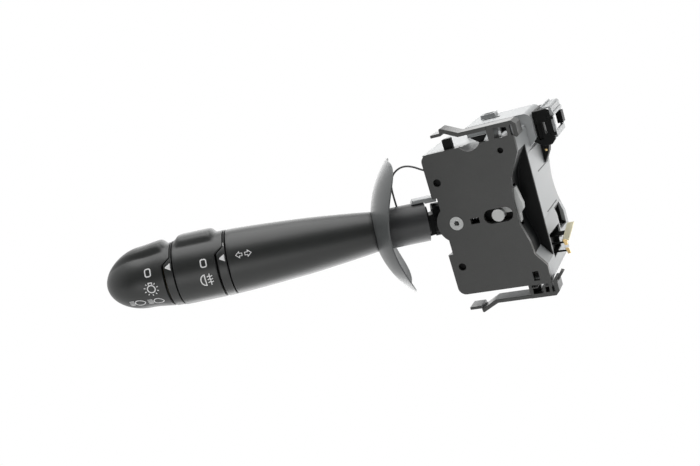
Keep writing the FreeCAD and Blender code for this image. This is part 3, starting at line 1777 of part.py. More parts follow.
def knob_contacts(name, web_start):
    """The fixed contact disc, the knob's wiper and the clip that holds the knob on the core tube."""
    wiper = new_body(name + "_wiper")
    plate_start = web_start - size.wiper_thick * 0.6
    tube(
        wiper,
        name + "_wiper_ring",
        plate_start,
        web_start,
        size.wiper_radius + size.wiper_thick * 2.0,
        size.wiper_radius - size.wiper_thick * 2.0,
    )
    pads = Profile(wiper, name + "_wiper_pads_outline", "YZ_Plane", plate_start)
    for turn in (0.0, 120.0, 240.0):
        angle = size.ridge_start_angle * 0.0 + turn
        pads.disc(size.wiper_radius * cosine(angle), size.wiper_radius * sine(angle), size.wiper_thick * 1.6)
    pad(wiper, name + "_wiper_pads", pads, size.wiper_thick * 0.4, backwards=True)
    wiper.Placement = stalk_place
    disc = new_body(name + "_contact_disc")
    disc_end = web_start - size.wiper_thick - size.running
    tube(disc, name + "_disc", disc_end - size.disc_thick, disc_end, size.disc_radius, size.core_radius)
    disc.Placement = stalk_place
    clip = new_body(name + "_clip")
    clip_start = web_start + size.web_thick + size.running
    tube(clip, name + "_clip_ring", clip_start, clip_start + size.clip_thick, size.clip_radius, size.core_radius)
    clip.Placement = stalk_place
    return wiper, disc, clip


fog_wiper, fog_contact_disc, fog_clip = knob_contacts("fog", size.fog_web_start)
light_wiper, light_contact_disc, light_clip = knob_contacts("light", size.light_web_start)

# Pale key: its underside follows the shaft
key_seat = Profile(shaft_key, "key_seat_outline", "XZ_Plane")
key_seat.polygon(
    [
        (size.shaft_start - size.slack, NONE),
        (size.key_end + size.slack, NONE),
        (size.key_end + size.slack, size.shaft_radius),
        (size.shaft_start - size.slack, size.shaft_radius),
    ]
)
turned(shaft_key, "Groove", "key_seat", key_seat)

# Blade block with two short tabs and one tall blade, in the side wall's lower recess
blade_block = new_body("blade_block")
block_left = inside_right - size.carrier_wall
block_face = size.case_right - size.blade_block_sink
layer(
    blade_block,
    "block",
    size.blade_block_front,
    size.blade_block_deep,
    lambda p: p.box(block_left, block_face, -size.blade_block_low, -size.blade_block_high),
)
blade_half = size.blade_wide / 2.0


def tab_rows():
    return [-size.blade_high - size.blade_pitch * float(number) for number in range(2)]


def tab_slots(profile):
    for middle in tab_rows():
        profile.box(
            block_left - size.carrier_wall, block_face + size.carrier_wall, middle - blade_half, middle + blade_half
        )
    return profile


def tab_shapes(profile):
    for middle in tab_rows():
        tip = size.case_right + size.blade_reach
        nib = size.blade_thick
        profile.polygon(
            [
                (block_left - size.carrier_wall, middle - blade_half),
                (tip - nib, middle - blade_half),
                (tip, middle - blade_half + nib),
                (tip, middle + blade_half - nib),
                (tip - nib, middle + blade_half),
                (block_left - size.carrier_wall, middle + blade_half),
            ]
        )
    return profile


tab_front = size.blade_front
layer_cut(blade_block, "tab_slots", tab_front, size.blade_thick, tab_slots)
terminal_blades = new_body("terminal_blades")
layer(terminal_blades, "tabs", tab_front, size.blade_thick, tab_shapes)


def strap(body, label, start, end):
    """The tall blade's section, from its foot in the block up and back, run from start to end along X."""
    foot = tab_front + size.blade_thick + size.strap_gap
    profile = Profile(body, label + "_outline", "YZ_Plane", start)
    profile.polygon(
        [
            (row_y(foot), -size.strap_low),
            (row_y(foot + size.strap_length * 0.25), -size.strap_low),
            (row_y(foot + size.strap_length), -size.strap_low + size.strap_rise),
            (row_y(foot + size.strap_length), -size.strap_low + size.strap_rise + size.blade_thick),
            (row_y(foot + size.strap_length * 0.25), -size.strap_low + size.blade_thick),
            (row_y(foot), -size.strap_low + size.blade_thick),
        ]
    )
    return profile, end - start


strap_blade = new_body("strap_blade")
strap_profile, strap_run = strap(strap_blade, "strap", block_face, size.case_right + size.strap_reach)
pad(strap_blade, "strap", strap_profile, strap_run)

# Plug socket in the side wall, open to the right, with a tongue for its contacts
plug_socket = new_body("plug_socket")
socket_reach = size.lower_flare * (socket_front - liner_back) / (size.case_depth - liner_back)
socket_face = size.case_right + socket_reach - size.socket_sink
socket_left = socket_face - size.socket_deep
layer(
    plug_socket,
    "socket_block",
    socket_front,
    size.socket_wide,
    lambda p: p.box(socket_left, socket_face, socket_low, -size.socket_high),
)
layer_cut(
    plug_socket,
    "socket_room",
    socket_front + size.socket_wall,
    size.socket_wide - size.socket_wall * 2.0,
    lambda p: p.box(
        socket_left + size.socket_wall,
        socket_face + size.carrier_wall,
        socket_low + size.socket_wall,
        -size.socket_high - size.socket_wall,
    ),
)
tongue_left = socket_left + size.socket_wall
tongue_low = socket_low + size.socket_wall
tongue_high = tongue_low + size.tongue_tall
layer(
    plug_socket,
    "tongue",
    socket_front + size.socket_wall * 2.0,
    size.socket_wide - size.socket_wall * 4.0,
    lambda p: p.box(tongue_left - size.running, socket_face - size.carrier_wall, tongue_low - size.running, tongue_high),
)
socket_contacts = new_body("socket_contacts")
first_strip = socket_front + size.socket_wall * 2.5
second_strip = socket_front + size.socket_wide - size.socket_wall * 2.5 - size.contact_strip
for number, strip_front in enumerate((first_strip, second_strip), start=1):
    layer(
        socket_contacts,
        "strip_%d" % number,
        strip_front,
        size.contact_strip,
        lambda p: p.box(tongue_left, socket_face - size.carrier_wall, tongue_high, tongue_high + size.slack),
    )

# Black bracket on the hump's right side: a thin flange with the slit, on a root along the hump and a foot below
column_bracket = new_body("column_bracket")
flange_back = size.bracket_front + size.flange_thick
hump_corner_z = size.hump_low + size.carrier_side_wall
root_right = size.hump_right + size.bracket_wall
layer(
    column_bracket,
    "flange",
    size.bracket_front,
    size.flange_thick,
    lambda p: p.polygon(
        [
            (size.hump_right - size.bracket_wall, hump_corner_z - size.bracket_wall),
            (root_right, size.bracket_low),
            (size.bracket_right - size.bracket_wall, size.bracket_low),
            (size.bracket_right, size.bracket_low + size.bracket_wall),
            (size.bracket_right, size.bracket_high - size.bracket_wall * 0.6),
            (size.bracket_right - size.bracket_wall, size.bracket_high),
            (size.hump_right, size.bracket_high),
            (size.hump_right, hump_corner_z),
        ]
    ),
)
layer(
    column_bracket,
    "root",
    size.bracket_front,
    size.bracket_back - size.bracket_front,
    lambda p: p.box(size.hump_right, root_right, hump_corner_z, size.bracket_high),
)
layer(
    column_bracket,
    "foot",
    size.foot_front,
    size.bracket_back - size.foot_front,
    lambda p: p.polygon(
        [
            (size.case_right + size.upper_flare, size.foot_low),
            (root_right - size.bracket_wall * 0.7, size.foot_knee),
            (root_right, size.bracket_low),
            (root_right, hump_corner_z + size.bracket_wall),
            (size.hump_right, hump_corner_z + size.bracket_wall),
            (size.hump_right, hump_corner_z),
            (size.case_right + size.upper_flare, hump_corner_z - size.carrier_side_wall + size.upper_flare),
        ]
    ),
)
panel_left = size.hump_right + size.slack * 2.0
panel_right = panel_left + size.bracket_wall
panel_low = size.bracket_low + size.bracket_wall * 1.6
panel_high = size.bracket_high - size.bracket_wall * 2.8
layer_cut(
    column_bracket,
    "panel_recess",
    size.bracket_front,
    size.flange_thick * 0.5,
    lambda p: p.box(panel_left, panel_right, panel_low, panel_high),
)
slit_left = panel_right + size.bracket_wall * 0.6
layer_cut(
    column_bracket,
    "bracket_slit",
    size.bracket_front,
    size.flange_thick,
    lambda p: p.box(slit_left, slit_left + size.bracket_wall * 0.5, panel_low + size.bracket_wall, panel_high),
)
peg_front = size.bracket_front - size.loop_skin
for number, peg_z in enumerate((size.peg_upper, size.peg_lower), start=1):
    layer(
        column_bracket,
        "loop_peg_%d" % number,
        peg_front,
        size.loop_front - peg_front,
        lambda p: p.box(
            size.bracket_right - size.peg_half * 2.0,
            size.bracket_right + size.peg_half * 2.0,
            peg_z - size.peg_half,
            peg_z + size.peg_half,
        ),
    )

# Light loop beside the flange, with a stepped upper bar that lies on the flange's top
snap_frame = new_body("snap_frame")
loop_inner_high = size.bracket_high - size.loop_bar
loop_inner_low = size.loop_low + size.loop_low_bar
loop_right = size.bracket_right + size.loop_thick
loop = Profile(snap_frame, "loop_outline", "YZ_Plane", size.bracket_right)
loop.box(row_y(size.loop_front), row_y(size.loop_back), size.loop_low, size.bracket_high)
loop.box(
    row_y(size.loop_front + size.loop_end), row_y(size.loop_back - size.loop_back_end), loop_inner_low, loop_inner_high
)
pad(snap_frame, "loop", loop, size.loop_thick - size.loop_step)
wing_left = size.bracket_right - size.loop_wing
layer(
    snap_frame,
    "stepped_bar",
    size.loop_front,
    size.loop_back - size.loop_front,
    lambda p: p.polygon(
        [
            (size.bracket_right, loop_inner_high),
            (loop_right, loop_inner_high),
            (loop_right, loop_inner_high + size.loop_skin * 2.0),
            (loop_right - size.loop_step, loop_inner_high + size.loop_skin * 2.0),
            (loop_right - size.loop_step, size.bracket_high - size.loop_step),
            (loop_right - size.loop_step * 2.0, size.loop_high),
            (wing_left + size.loop_skin, size.loop_high),
            (wing_left + size.loop_skin, size.loop_high + size.loop_skin),
            (wing_left, size.loop_high + size.loop_skin),
            (wing_left, size.bracket_high),
            (size.bracket_right, size.bracket_high),
        ]
    ),
)

# Black clip round the loop's rear bar
loop_clip = new_body("loop_clip")
clip_profile = Profile(loop_clip, "clip_outline", "XY_Plane", size.clip_low)
clip_profile.box(
    size.bracket_right - size.clip_wall,
    loop_right - size.loop_step + size.clip_wall,
    row_y(size.clip_front),
    row_y(size.loop_back + size.clip_wall / 2.0),
)
clip_profile.box(
    size.bracket_right,
    loop_right - size.loop_step,
    row_y(size.loop_back - size.loop_back_end),
    row_y(size.loop_back),
)
pad(loop_clip, "clip", clip_profile, size.clip_high - size.clip_low)

# Lead: up from the shaft's hole, over one wide bend and one small bend, into the side wall
lead_wire = new_body("lead_wire")
lead_top = size.lead_low + size.lead_rise
bend_x = size.lead_bend - size.lead_x
bend_end_x = bend_x + size.lead_bend * sine(size.lead_angle)
bend_end_z = lead_top + size.lead_bend * cosine(size.lead_angle)
slope_x = bend_end_x + size.lead_slope * cosine(size.lead_angle)
slope_z = bend_end_z - size.lead_slope * sine(size.lead_angle)
entry_x = slope_x + size.lead_entry_bend * sine(size.lead_angle)
entry_z = slope_z - size.lead_entry_bend * (1.0 - cosine(size.lead_angle))
lead_end = entry_x + size.lead_entry
lead_y = size.case_depth - size.lead_depth
section = Profile(lead_wire, "lead_section", "XY_Plane", size.lead_low)
section.disc(-size.lead_x, -lead_y, size.lead_radius)
spine = Profile(lead_wire, "lead_spine", "XZ_Plane", lead_y)


def spine_run(start, end, radius=None):
    """One straight run or bend of the lead; a positive radius bulges to the left of the way."""
    first = Vector(start[0].value, start[1].value, 0)
    last = Vector(end[0].value, end[1].value, 0)
    if radius is None:
        run = spine.sketch.addGeometry(Part.LineSegment(first, last), False)
        spine.pin(run, 1, start[0], start[1])
        spine.pin(run, 2, end[0], end[1])
        return
    run = spine.sketch.addGeometry(Profile.arc(first, last, radius.value), False)
    begin, finish = (2, 1) if radius.value > 0 else (1, 2)
    spine.pin(run, begin, start[0], start[1])
    spine.pin(run, finish, end[0], end[1])
    reach = radius if radius.value > 0 else -radius
    spine.bind(Sketcher.Constraint("Radius", run, reach.value), reach)


lead_points = [
    (-size.lead_x, size.lead_low),
    (-size.lead_x, lead_top),
    (bend_end_x, bend_end_z),
    (slope_x, slope_z),
    (entry_x, entry_z),
    (lead_end, entry_z),
]
spine_run(lead_points[0], lead_points[1])
spine_run(lead_points[1], lead_points[2], size.lead_bend)
spine_run(lead_points[2], lead_points[3])
spine_run(lead_points[3], lead_points[4], -size.lead_entry_bend)
spine_run(lead_points[4], lead_points[5])
lead_pipe = lead_wire.newObject("PartDesign::AdditivePipe", "lead")
lead_pipe.Profile = section.sketch
lead_pipe.Spine = spine.sketch
lead_pipe.Mode = "Standard"
section.sketch.Visibility = False
spine.sketch.Visibility = False
print("lead radius %.2f, bends %.2f and %.2f" % (
    size.lead_radius.value, size.lead_bend.value, size.lead_entry_bend.value))

# The lead's holes in the side wall and in the shaft
wall_hole = Profile(rear_carrier, "lead_hole_outline", "YZ_Plane", carrier_left - size.carrier_wall)
wall_hole.disc(row_y(size.lead_depth), entry_z, size.lead_hole)
pocket(rear_carrier, "lead_hole", wall_hole, size.carrier_wall * 2.5, backwards=True)
lead_behind = size.pivot_depth - size.lead_depth
lead_out = size.lead_x * cosine(size.stalk_lean) + lead_behind * sine(size.stalk_lean)
lead_side = lead_behind * cosine(size.stalk_lean) - size.lead_x * sine(size.stalk_lean)
lead_up = size.shaft_radius + size.shaft_start * 0.12
lead_along = lead_out * cosine(size.stalk_rise) + lead_up * sine(size.stalk_rise)
shaft_hole = Profile(stalk_shaft, "lead_hole_outline_shaft", "XY_Plane", size.shaft_radius + size.lead_hole)
shaft_hole.disc(lead_along, lead_side, size.lead_hole)
pocket(stalk_shaft, "lead_hole_shaft", shaft_hole, size.lead_hole * 4.0)

NODES = [
    "front_cover",
    "cover_pins",
    "rear_carrier",
    "saddle_liner",
    "arm_stops",
    "top_latch_arm",
    "bottom_latch_arm",
    "detent_cam",
    "contact_board",
    "board_tracks",
    "turn_slider",
    "turn_bridge",
    "beam_board",
    "beam_tracks",
    "beam_slider",
    "beam_bridge",
    "cancel_finger",
    "finger_carriage",
    "finger_spring",
    "blade_block",
    "terminal_blades",
    "strap_blade",
    "plug_socket",
    "socket_contacts",
    "column_bracket",
    "snap_frame",
    "loop_clip",
    "gimbal_cradle",
    "cross_pin",
    "stalk_root",
    "detent_plunger",
    "plunger_spring",
    "stalk_shaft",
    "shaft_key",
    "collar_shield",
    "stalk_body",
    "core_tube",
    "inner_fixed_ring",
    "outer_fixed_ring",
    "fog_ring",
    "fog_wiper",
    "fog_contact_disc",
    "fog_clip",
    "light_knob",
    "light_wiper",
    "light_contact_disc",
    "light_clip",
    "lead_wire",
]

doc.recompute()
broken = []
for item in doc.Objects:
    if "Invalid" in item.State or "Error" in item.State:
        broken.append("%s %s" % (item.Label, item.State))
by_label = {item.Label: item for item in doc.Objects}
for name in NODES:
    shape = by_label[name].Shape
    if shape.isNull() or not shape.isValid() or shape.Volume <= 0:
        broken.append("%s has no valid solid" % name)
    print("%-20s solids %d volume %9.1f" % (name, len(shape.Solids), shape.Volume))
if broken:
    raise RuntimeError("part.py found broken objects: " + "; ".join(broken))

os.makedirs("parts", exist_ok=True)
for name in NODES:
    by_label[name].Shape.exportStep("parts/%s.step" % name)
print("wrote %d parts" % len(NODES))
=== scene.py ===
import json
import math

import bmesh
import bpy
from mathutils import Matrix, Vector
from mathutils.bvhtree import BVHTree


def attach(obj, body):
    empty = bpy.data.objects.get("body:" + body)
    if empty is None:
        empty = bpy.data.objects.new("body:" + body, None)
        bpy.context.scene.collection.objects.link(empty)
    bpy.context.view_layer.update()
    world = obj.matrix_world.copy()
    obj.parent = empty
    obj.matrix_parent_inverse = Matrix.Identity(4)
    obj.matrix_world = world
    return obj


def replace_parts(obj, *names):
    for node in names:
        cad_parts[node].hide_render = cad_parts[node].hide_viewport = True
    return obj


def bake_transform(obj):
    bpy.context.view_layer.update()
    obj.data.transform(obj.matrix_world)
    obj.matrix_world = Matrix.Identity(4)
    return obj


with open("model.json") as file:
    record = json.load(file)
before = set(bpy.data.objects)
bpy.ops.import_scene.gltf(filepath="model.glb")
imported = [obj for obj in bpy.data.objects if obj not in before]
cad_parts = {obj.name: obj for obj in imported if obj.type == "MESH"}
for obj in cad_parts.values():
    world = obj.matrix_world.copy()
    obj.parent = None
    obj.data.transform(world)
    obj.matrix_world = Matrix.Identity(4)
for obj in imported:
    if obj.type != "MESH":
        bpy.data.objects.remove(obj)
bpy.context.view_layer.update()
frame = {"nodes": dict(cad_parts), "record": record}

# The camera stands in front of the cover, to its right and a little above it.
# Its place and turn were fitted to the cover's corners, its holes and the stalk's outline.
camera_data = bpy.data.cameras.new("camera")
camera_data.sensor_width = 36.0
camera_data.lens = 42.94
camera_data.clip_start = 0.01
camera_data.clip_end = 20.0
camera = bpy.data.objects.new("camera", camera_data)
camera_right = Vector((0.8686, 0.3967, -0.2969)).normalized()
camera_back = Vector((0.4662, -0.8573, 0.2185))
camera_back = (camera_back - camera_right * camera_back.dot(camera_right)).normalized()
camera_up = camera_back.cross(camera_right)
camera_turn = Matrix((camera_right, camera_up, camera_back)).transposed().to_4x4()
camera.matrix_world = Matrix.Translation((0.1476, -0.4306, 0.1027)) @ camera_turn
bpy.context.scene.collection.objects.link(camera)
bpy.context.scene.camera = camera
bpy.context.scene.view_settings.view_transform = "Standard"


class Signal:
    """A shader socket in arithmetic: each sum or product adds its own Math node."""

    def __init__(self, tree, socket=None):
        self.tree = tree
        self.socket = socket

    def add(self, kind, settings, sockets, out=0):
        node = self.tree.nodes.new(kind)
        for name, value in settings.items():
            if name == "stops":
                node.color_ramp.elements[0].position, node.color_ramp.elements[0].color = value[0]
                node.color_ramp.elements[1].position, node.color_ramp.elements[1].color = value[-1]
                for place, colour in value[1:-1]:
                    node.color_ramp.elements.new(place).color = colour
            else:
                setattr(node, name, value)
        for name, value in sockets.items():
            if isinstance(value, Signal):
                self.tree.links.new(value.socket, node.inputs[name])
            else:
                node.inputs[name].default_value = value
        return Signal(self.tree, node.outputs[out] if len(node.outputs) else None)

    def math(self, operation, first, second=0.5):
        return self.add("ShaderNodeMath", {"operation": operation}, {0: first, 1: second})

    def __add__(self, other):
        return self.math("ADD", self, other)

    __radd__ = __add__

    def __mul__(self, other):
        return self.math("MULTIPLY", self, other)

    __rmul__ = __mul__

    def __sub__(self, other):
        return self.math("SUBTRACT", self, other)

    def __rsub__(self, other):
        return self.math("SUBTRACT", other, self)


# The studio: a white tent round the part, open and dim on the camera's side, so dark faces stay dark and
# edges catch the tent. A wide lamp hangs above, two stand behind, and weak ones stand in front and lie below.
world = bpy.data.worlds.new("studio")
bpy.context.scene.world = world
world.use_nodes = True
world.node_tree.nodes.clear()
tent = Signal(world.node_tree)
seen = tent.add("ShaderNodeLightPath", {}, {}, "Is Camera Ray")
mirrored = tent.add("ShaderNodeLightPath", {}, {}, "Is Glossy Ray")
through = tent.add("ShaderNodeLightPath", {}, {}, "Is Transmission Ray")
way = tent.add("ShaderNodeTexCoord", {}, {}, "Generated")
frontness = tent.add(
    "ShaderNodeVectorMath", {"operation": "DOT_PRODUCT"}, {0: way, 1: tuple(camera_back)}, "Value"
)
opening = tent.add("ShaderNodeMapRange", {}, {"Value": frontness, "From Min": 0.0, "From Max": 0.75})
wall = tent.add("ShaderNodeBackground", {}, {"Color": (1.0, 1.0, 1.0, 1.0), "Strength": 0.8})
gap = tent.add("ShaderNodeBackground", {}, {"Color": (0.97, 0.985, 1.0, 1.0), "Strength": 0.12})
white = tent.add("ShaderNodeBackground", {}, {"Color": (1.0, 1.0, 1.0, 1.0), "Strength": 1.0})
around = tent.add("ShaderNodeMixShader", {}, {0: opening, 1: wall, 2: gap})
bright = tent.math("MAXIMUM", tent.math("MAXIMUM", mirrored, through) * (1.0 - opening), seen)
choice = tent.add("ShaderNodeMixShader", {}, {0: bright, 1: around, 2: white})
tent.add("ShaderNodeOutputWorld", {}, {"Surface": choice})
for name, place, aim, wide, power in (
    ("top_lamp", (-0.05, 0.0, 0.75), (0.0, -0.02, 0.0), 0.8, 5.0),
    ("front_lamp", (0.10, -0.95, -0.12), (-0.03, 0.0, 0.0), 0.5, 1.0),
    ("low_lamp", (-0.10, 0.02, -0.30), (-0.12, -0.05, 0.0), 0.7, 3.2),
    ("back_left_lamp", (-0.46, 0.72, 0.24), (0.0, -0.02, 0.0), 0.7, 2.2),
    ("back_right_lamp", (0.42, 0.74, -0.10), (0.0, -0.02, 0.0), 0.5, 1.6),
):
    lamp_data = bpy.data.lights.new(name, "AREA")
    lamp_data.size = wide
    lamp_data.energy = power
    lamp = bpy.data.objects.new(name, lamp_data)
    lamp.location = place
    lamp.rotation_euler = (Vector(aim) - Vector(place)).to_track_quat("-Z", "Y").to_euler()
    bpy.context.scene.collection.objects.link(lamp)
floor_mesh = bpy.data.meshes.new("floor")
floor_half, floor_height = 6.0, -0.32
floor_corners = [(x * floor_half, y * floor_half, floor_height) for x, y in ((-1, -1), (1, -1), (1, 1), (-1, 1))]
floor_mesh.from_pydata(floor_corners, [], [(0, 1, 2, 3)])
floor = bpy.data.objects.new("floor", floor_mesh)
bpy.context.scene.collection.objects.link(floor)
floor_paint = bpy.data.materials.new("floor_paint")
floor_paint.use_nodes = True
floor_paint.node_tree.nodes.clear()
paint = Signal(floor_paint.node_tree)
seen = paint.add("ShaderNodeLightPath", {}, {}, "Is Camera Ray")
mirrored = paint.add("ShaderNodeLightPath", {}, {}, "Is Glossy Ray")
matt = paint.add("ShaderNodeBsdfDiffuse", {}, {"Color": (0.8, 0.8, 0.8, 1.0)})
glow = paint.add("ShaderNodeEmission", {}, {"Color": (1.0, 1.0, 1.0, 1.0), "Strength": 1.0})
either = paint.add("ShaderNodeMixShader", {}, {0: paint.math("MAXIMUM", seen, mirrored), 1: matt, 2: glow})
paint.add("ShaderNodeOutputMaterial", {}, {"Surface": either})
floor_mesh.materials.append(floor_paint)


# Stalk body: a tapered black shell that swells towards the rings, moulded in one piece.
# It is pushed on the core tube up to the dished collar. Its face has a fine even grain.
def moulded(name, colour, roughness, grain=0.0, grain_size=0.4, specular=0.5, coat=0.0, metal=0.0, mottle=0.12):
    """Moulded plastic, or metal: a fine grain in the surface, and patches a shade lighter, darker or duller.
    The grain's size is in millimetres."""
    material = bpy.data.materials.new(name)
    material.use_nodes = True
    material.node_tree.nodes.clear()
    skin = Signal(material.node_tree)
    place = skin.add("ShaderNodeTexCoord", {}, {}, "Object")
    fine = skin.add(
        "ShaderNodeTexNoise", {}, {"Vector": place, "Scale": 1000.0 / grain_size, "Detail": 2.0, "Roughness": 0.6}
    )
    cloud = skin.add("ShaderNodeTexNoise", {}, {"Vector": place, "Scale": 55.0, "Detail": 4.0, "Roughness": 0.65})
    shade = 1.0 - mottle
    darker = tuple(part * shade for part in colour) + (1.0,)
    lighter = tuple(min(part * (2.0 - shade), 1.0) for part in colour) + (1.0,)
    tone = skin.add(
        "ShaderNodeMix", {"data_type": "RGBA"}, {0: cloud * 0.7 + fine * 0.3, 6: darker, 7: lighter}, 2
    )
    sockets = {
        "Base Color": tone,
        "Roughness": roughness - 0.05 + cloud * 0.10,
        "Metallic": metal,
        "Specular IOR Level": specular,
        "Coat Weight": coat,
        "Coat Roughness": 0.25,
    }
    if grain > 0.0:
        sockets["Normal"] = skin.add(
            "ShaderNodeBump", {}, {"Strength": grain, "Distance": 0.0002, "Height": fine}
        )
    surface = skin.add("ShaderNodeBsdfPrincipled", {}, sockets)
    skin.add("ShaderNodeOutputMaterial", {}, {"Surface": surface})
    return material


stalk_black = moulded("stalk_black", (0.024, 0.0255, 0.0245), 0.36, 0.1, 0.35, 0.5)

pivot = Vector((0.0, -32.0, 0.0))
lean = math.radians(26.0)
rise = math.radians(5.5)
along = Vector((-math.cos(lean) * math.cos(rise), -math.sin(lean) * math.cos(rise), math.sin(rise)))
aside = Vector((math.sin(lean), -math.cos(lean), 0.0))
upward = along.cross(aside)


def on_stalk(station, radius, angle):
    """A point at a station along the stalk, in metres. Angles in degrees run from the driver's side upwards."""
    turn = math.radians(angle)
    point = pivot + along * station + aside * (radius * math.cos(turn)) + upward * (radius * math.sin(turn))
    return point * 0.001


def new_piece(name, vertices, faces, material, smooth_below=40.0):
    mesh = bpy.data.meshes.new(name)
    mesh.from_pydata(vertices, [], faces)
    work = bmesh.new()
    work.from_mesh(mesh)
    bmesh.ops.remove_doubles(work, verts=work.verts, dist=1e-6)
    bmesh.ops.dissolve_degenerate(work, edges=work.edges, dist=1e-7)
    bmesh.ops.recalc_face_normals(work, faces=work.faces)
    for face in work.faces:
        face.smooth = True
    for edge in work.edges:
        if len(edge.link_faces) == 2 and edge.calc_face_angle(0.0) > math.radians(smooth_below):
            edge.smooth = False
    work.to_mesh(mesh)
    work.free()
    piece = bpy.data.objects.new(name, mesh)
    bpy.context.scene.collection.objects.link(piece)
    mesh.materials.append(material)
    return piece


def turned(name, rows, material):
    """A shell round the stalk's axis. Each row gives (station, radius) for an angle, once round the section."""
    steps = 240
    vertices = []
    for row in rows:
        for step in range(steps):
            angle = 360.0 * step / steps
            station, radius = row(angle)
            vertices.append(on_stalk(station, max(radius, 0.0), angle))
    faces = []
    for index in range(len(rows)):
        here = index * steps
        there = ((index + 1) % len(rows)) * steps
        for step in range(steps):
            after = (step + 1) % steps
            faces.append((here + step, here + after, there + after, there + step))
    return new_piece(name, vertices, faces, material)


def eased(stations, position):
    """A smooth curve through (place, value) pairs."""
    if position <= stations[0][0]:
        return stations[0][1]
    for index in range(len(stations) - 1):
        (x0, y0), (x1, y1) = stations[index], stations[index + 1]
        if position <= x1:
            before = stations[max(index - 1, 0)]
            after = stations[min(index + 2, len(stations) - 1)]
            span = x1 - x0
            slope0 = (y1 - before[1]) / (x1 - before[0]) * span
            slope1 = (after[1] - y0) / (after[0] - x0) * span
            t = (position - x0) / span
            a, b = t * t * (3.0 - 2.0 * t), t * t * (t - 1.0)
            return y0 * (1.0 - a) + y1 * a + slope0 * t * (1.0 - t) ** 2 + slope1 * b
    return stations[-1][1]


def edged(start, end, radius, steps, inside, lip=0.35):
    """Rows for a shell from start to end, each a number or a rule by angle, with rounded rims."""
    first = start if callable(start) else (lambda angle: start)
    last = end if callable(end) else (lambda angle: end)
    rows = []
    for drop, inset in ((lip, 0.0), (lip * 0.3, lip * 0.3), (0.0, lip)):
        rows.append(lambda a, d=drop, i=inset: (first(a) + i, radius(first(a) + i, a) - d))
    for step in range(1, steps):
        share = step / steps
        rows.append(
            lambda a, t=share: (
                first(a) + lip + (last(a) - first(a) - 2.0 * lip) * t,
                radius(first(a) + lip + (last(a) - first(a) - 2.0 * lip) * t, a),
            )
        )
    for drop, inset in ((0.0, lip), (lip * 0.3, lip * 0.3), (lip, 0.0)):
        rows.append(lambda a, d=drop, i=inset: (last(a) - i, radius(last(a) - i, a) - d))
    rows.append(lambda a: (last(a), inside))
    rows.append(lambda a: (first(a), inside))
    return rows


body_stations = [
    (48.5, 10.6), (56.0, 11.6), (64.0, 12.55), (75.0, 13.75), (85.0, 14.7), (96.0, 15.5), (106.0, 16.15),
    (115.0, 16.65), (124.2, 17.0),
]


def body_skin(station, angle):
    return eased(body_stations, station)


stalk_body = turned("stalk_body_shell", edged(48.5, 123.95, body_skin, 40, 8.0), stalk_black)
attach(stalk_body, "stalk")
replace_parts(stalk_body, "stalk_body")


# Fixed rings: two narrow black rings on the core tube, one each side of the fog ring.
# Each is broader on the driver's side, where it carries a printed triangle, and steps back on top.
def stepped(low, high, start, end):
    """A rule by angle: low round the driver's side, high between the start and end angles."""

    def rule(angle):
        angle = (angle + 90.0) % 360.0 - 90.0
        enter = min(max((angle - start) / 12.0 + 0.5, 0.0), 1.0)
        leave = min(max((end - angle) / 8.0 + 0.5, 0.0), 1.0)
        return low + (high - low) * min(enter, leave)

    return rule


def inner_ring_skin(station, angle):
    return 17.05


def outer_ring_skin(station, angle):
    return 16.85 - (station - 152.0) * 0.07


step_angle, ring_bore, ring_lip = 37.0, 9.0, 0.2
inner_ring = turned(
    "inner_ring",
    edged(124.6, stepped(129.05, 125.0, step_angle, 186.0), inner_ring_skin, 6, ring_bore, ring_lip),
    stalk_black,
)
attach(inner_ring, "stalk")
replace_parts(inner_ring, "inner_fixed_ring")
outer_ring = turned(
    "outer_ring",
    edged(152.4, stepped(156.55, 152.8, step_angle, 206.5), outer_ring_skin, 6, ring_bore, ring_lip),
    stalk_black,
)
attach(outer_ring, "stalk")
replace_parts(outer_ring, "outer_fixed_ring")


# Fog ring: a turning black ring with a raised grip that a thumb pushes round.
# Its edge on the collar's side runs forward over the fixed ring on top.
def humped(station, angle, profile, half_angle, flank):
    """How far a grip stands out of its knob."""
    off = abs((angle - 90.0 + 180.0) % 360.0 - 180.0)
    t = min(max((half_angle + flank - off) / flank, 0.0), 1.0)
    return eased(profile, station) * t * t * (3.0 - 2.0 * t)


fog_grip = [
    (129.2, 0.0), (130.0, 0.5), (131.0, 1.9), (132.2, 2.4), (136.0, 2.5), (143.0, 2.45), (147.6, 2.35),
    (149.2, 1.8), (150.4, 0.6), (151.3, 0.0),
]
fog_radius = 17.1
lead_end_angle = 144.0


def fog_skin(station, angle):
    return fog_radius + humped(station, angle, fog_grip, 17.0, 16.0)


fog_ring = turned(
    "fog_ring_shell",
    edged(stepped(130.15, 125.6, step_angle, lead_end_angle), 151.7, fog_skin, 34, 14.9, 0.3),
    stalk_black,
)
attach(fog_ring, "fog_ring")
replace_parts(fog_ring, "fog_ring")

# Light knob: the rounded black end of the stalk, a hollow cap with its own raised grip.
# It runs on the core tube and is held by a steel clip.
knob_stations = [
    (153.0, 16.55), (157.2, 16.38), (161.0, 15.85), (164.0, 15.4), (167.0, 15.08), (170.0, 14.95), (173.0, 14.9),
]
light_grip = [
    (153.0, 0.0), (155.6, 0.1), (156.8, 1.4), (158.2, 2.5), (160.5, 2.85), (165.0, 2.85), (170.0, 2.6),
    (175.0, 2.15), (180.0, 1.5), (185.0, 0.7), (188.5, 0.15), (190.0, 0.0), (192.0, 0.0),
]
nose_start = 170.0
nose_length = 21.0
nose_radius = 14.95
knob_lip = 0.35


def knob_skin(station, angle):
    if station <= nose_start:
        plain = eased(knob_stations, station)
    else:
        share = min((station - nose_start) / nose_length, 1.0)
        plain = nose_radius * math.sqrt(1.0 - share * share)
    return plain + humped(station, angle, light_grip, 15.0, 17.0)


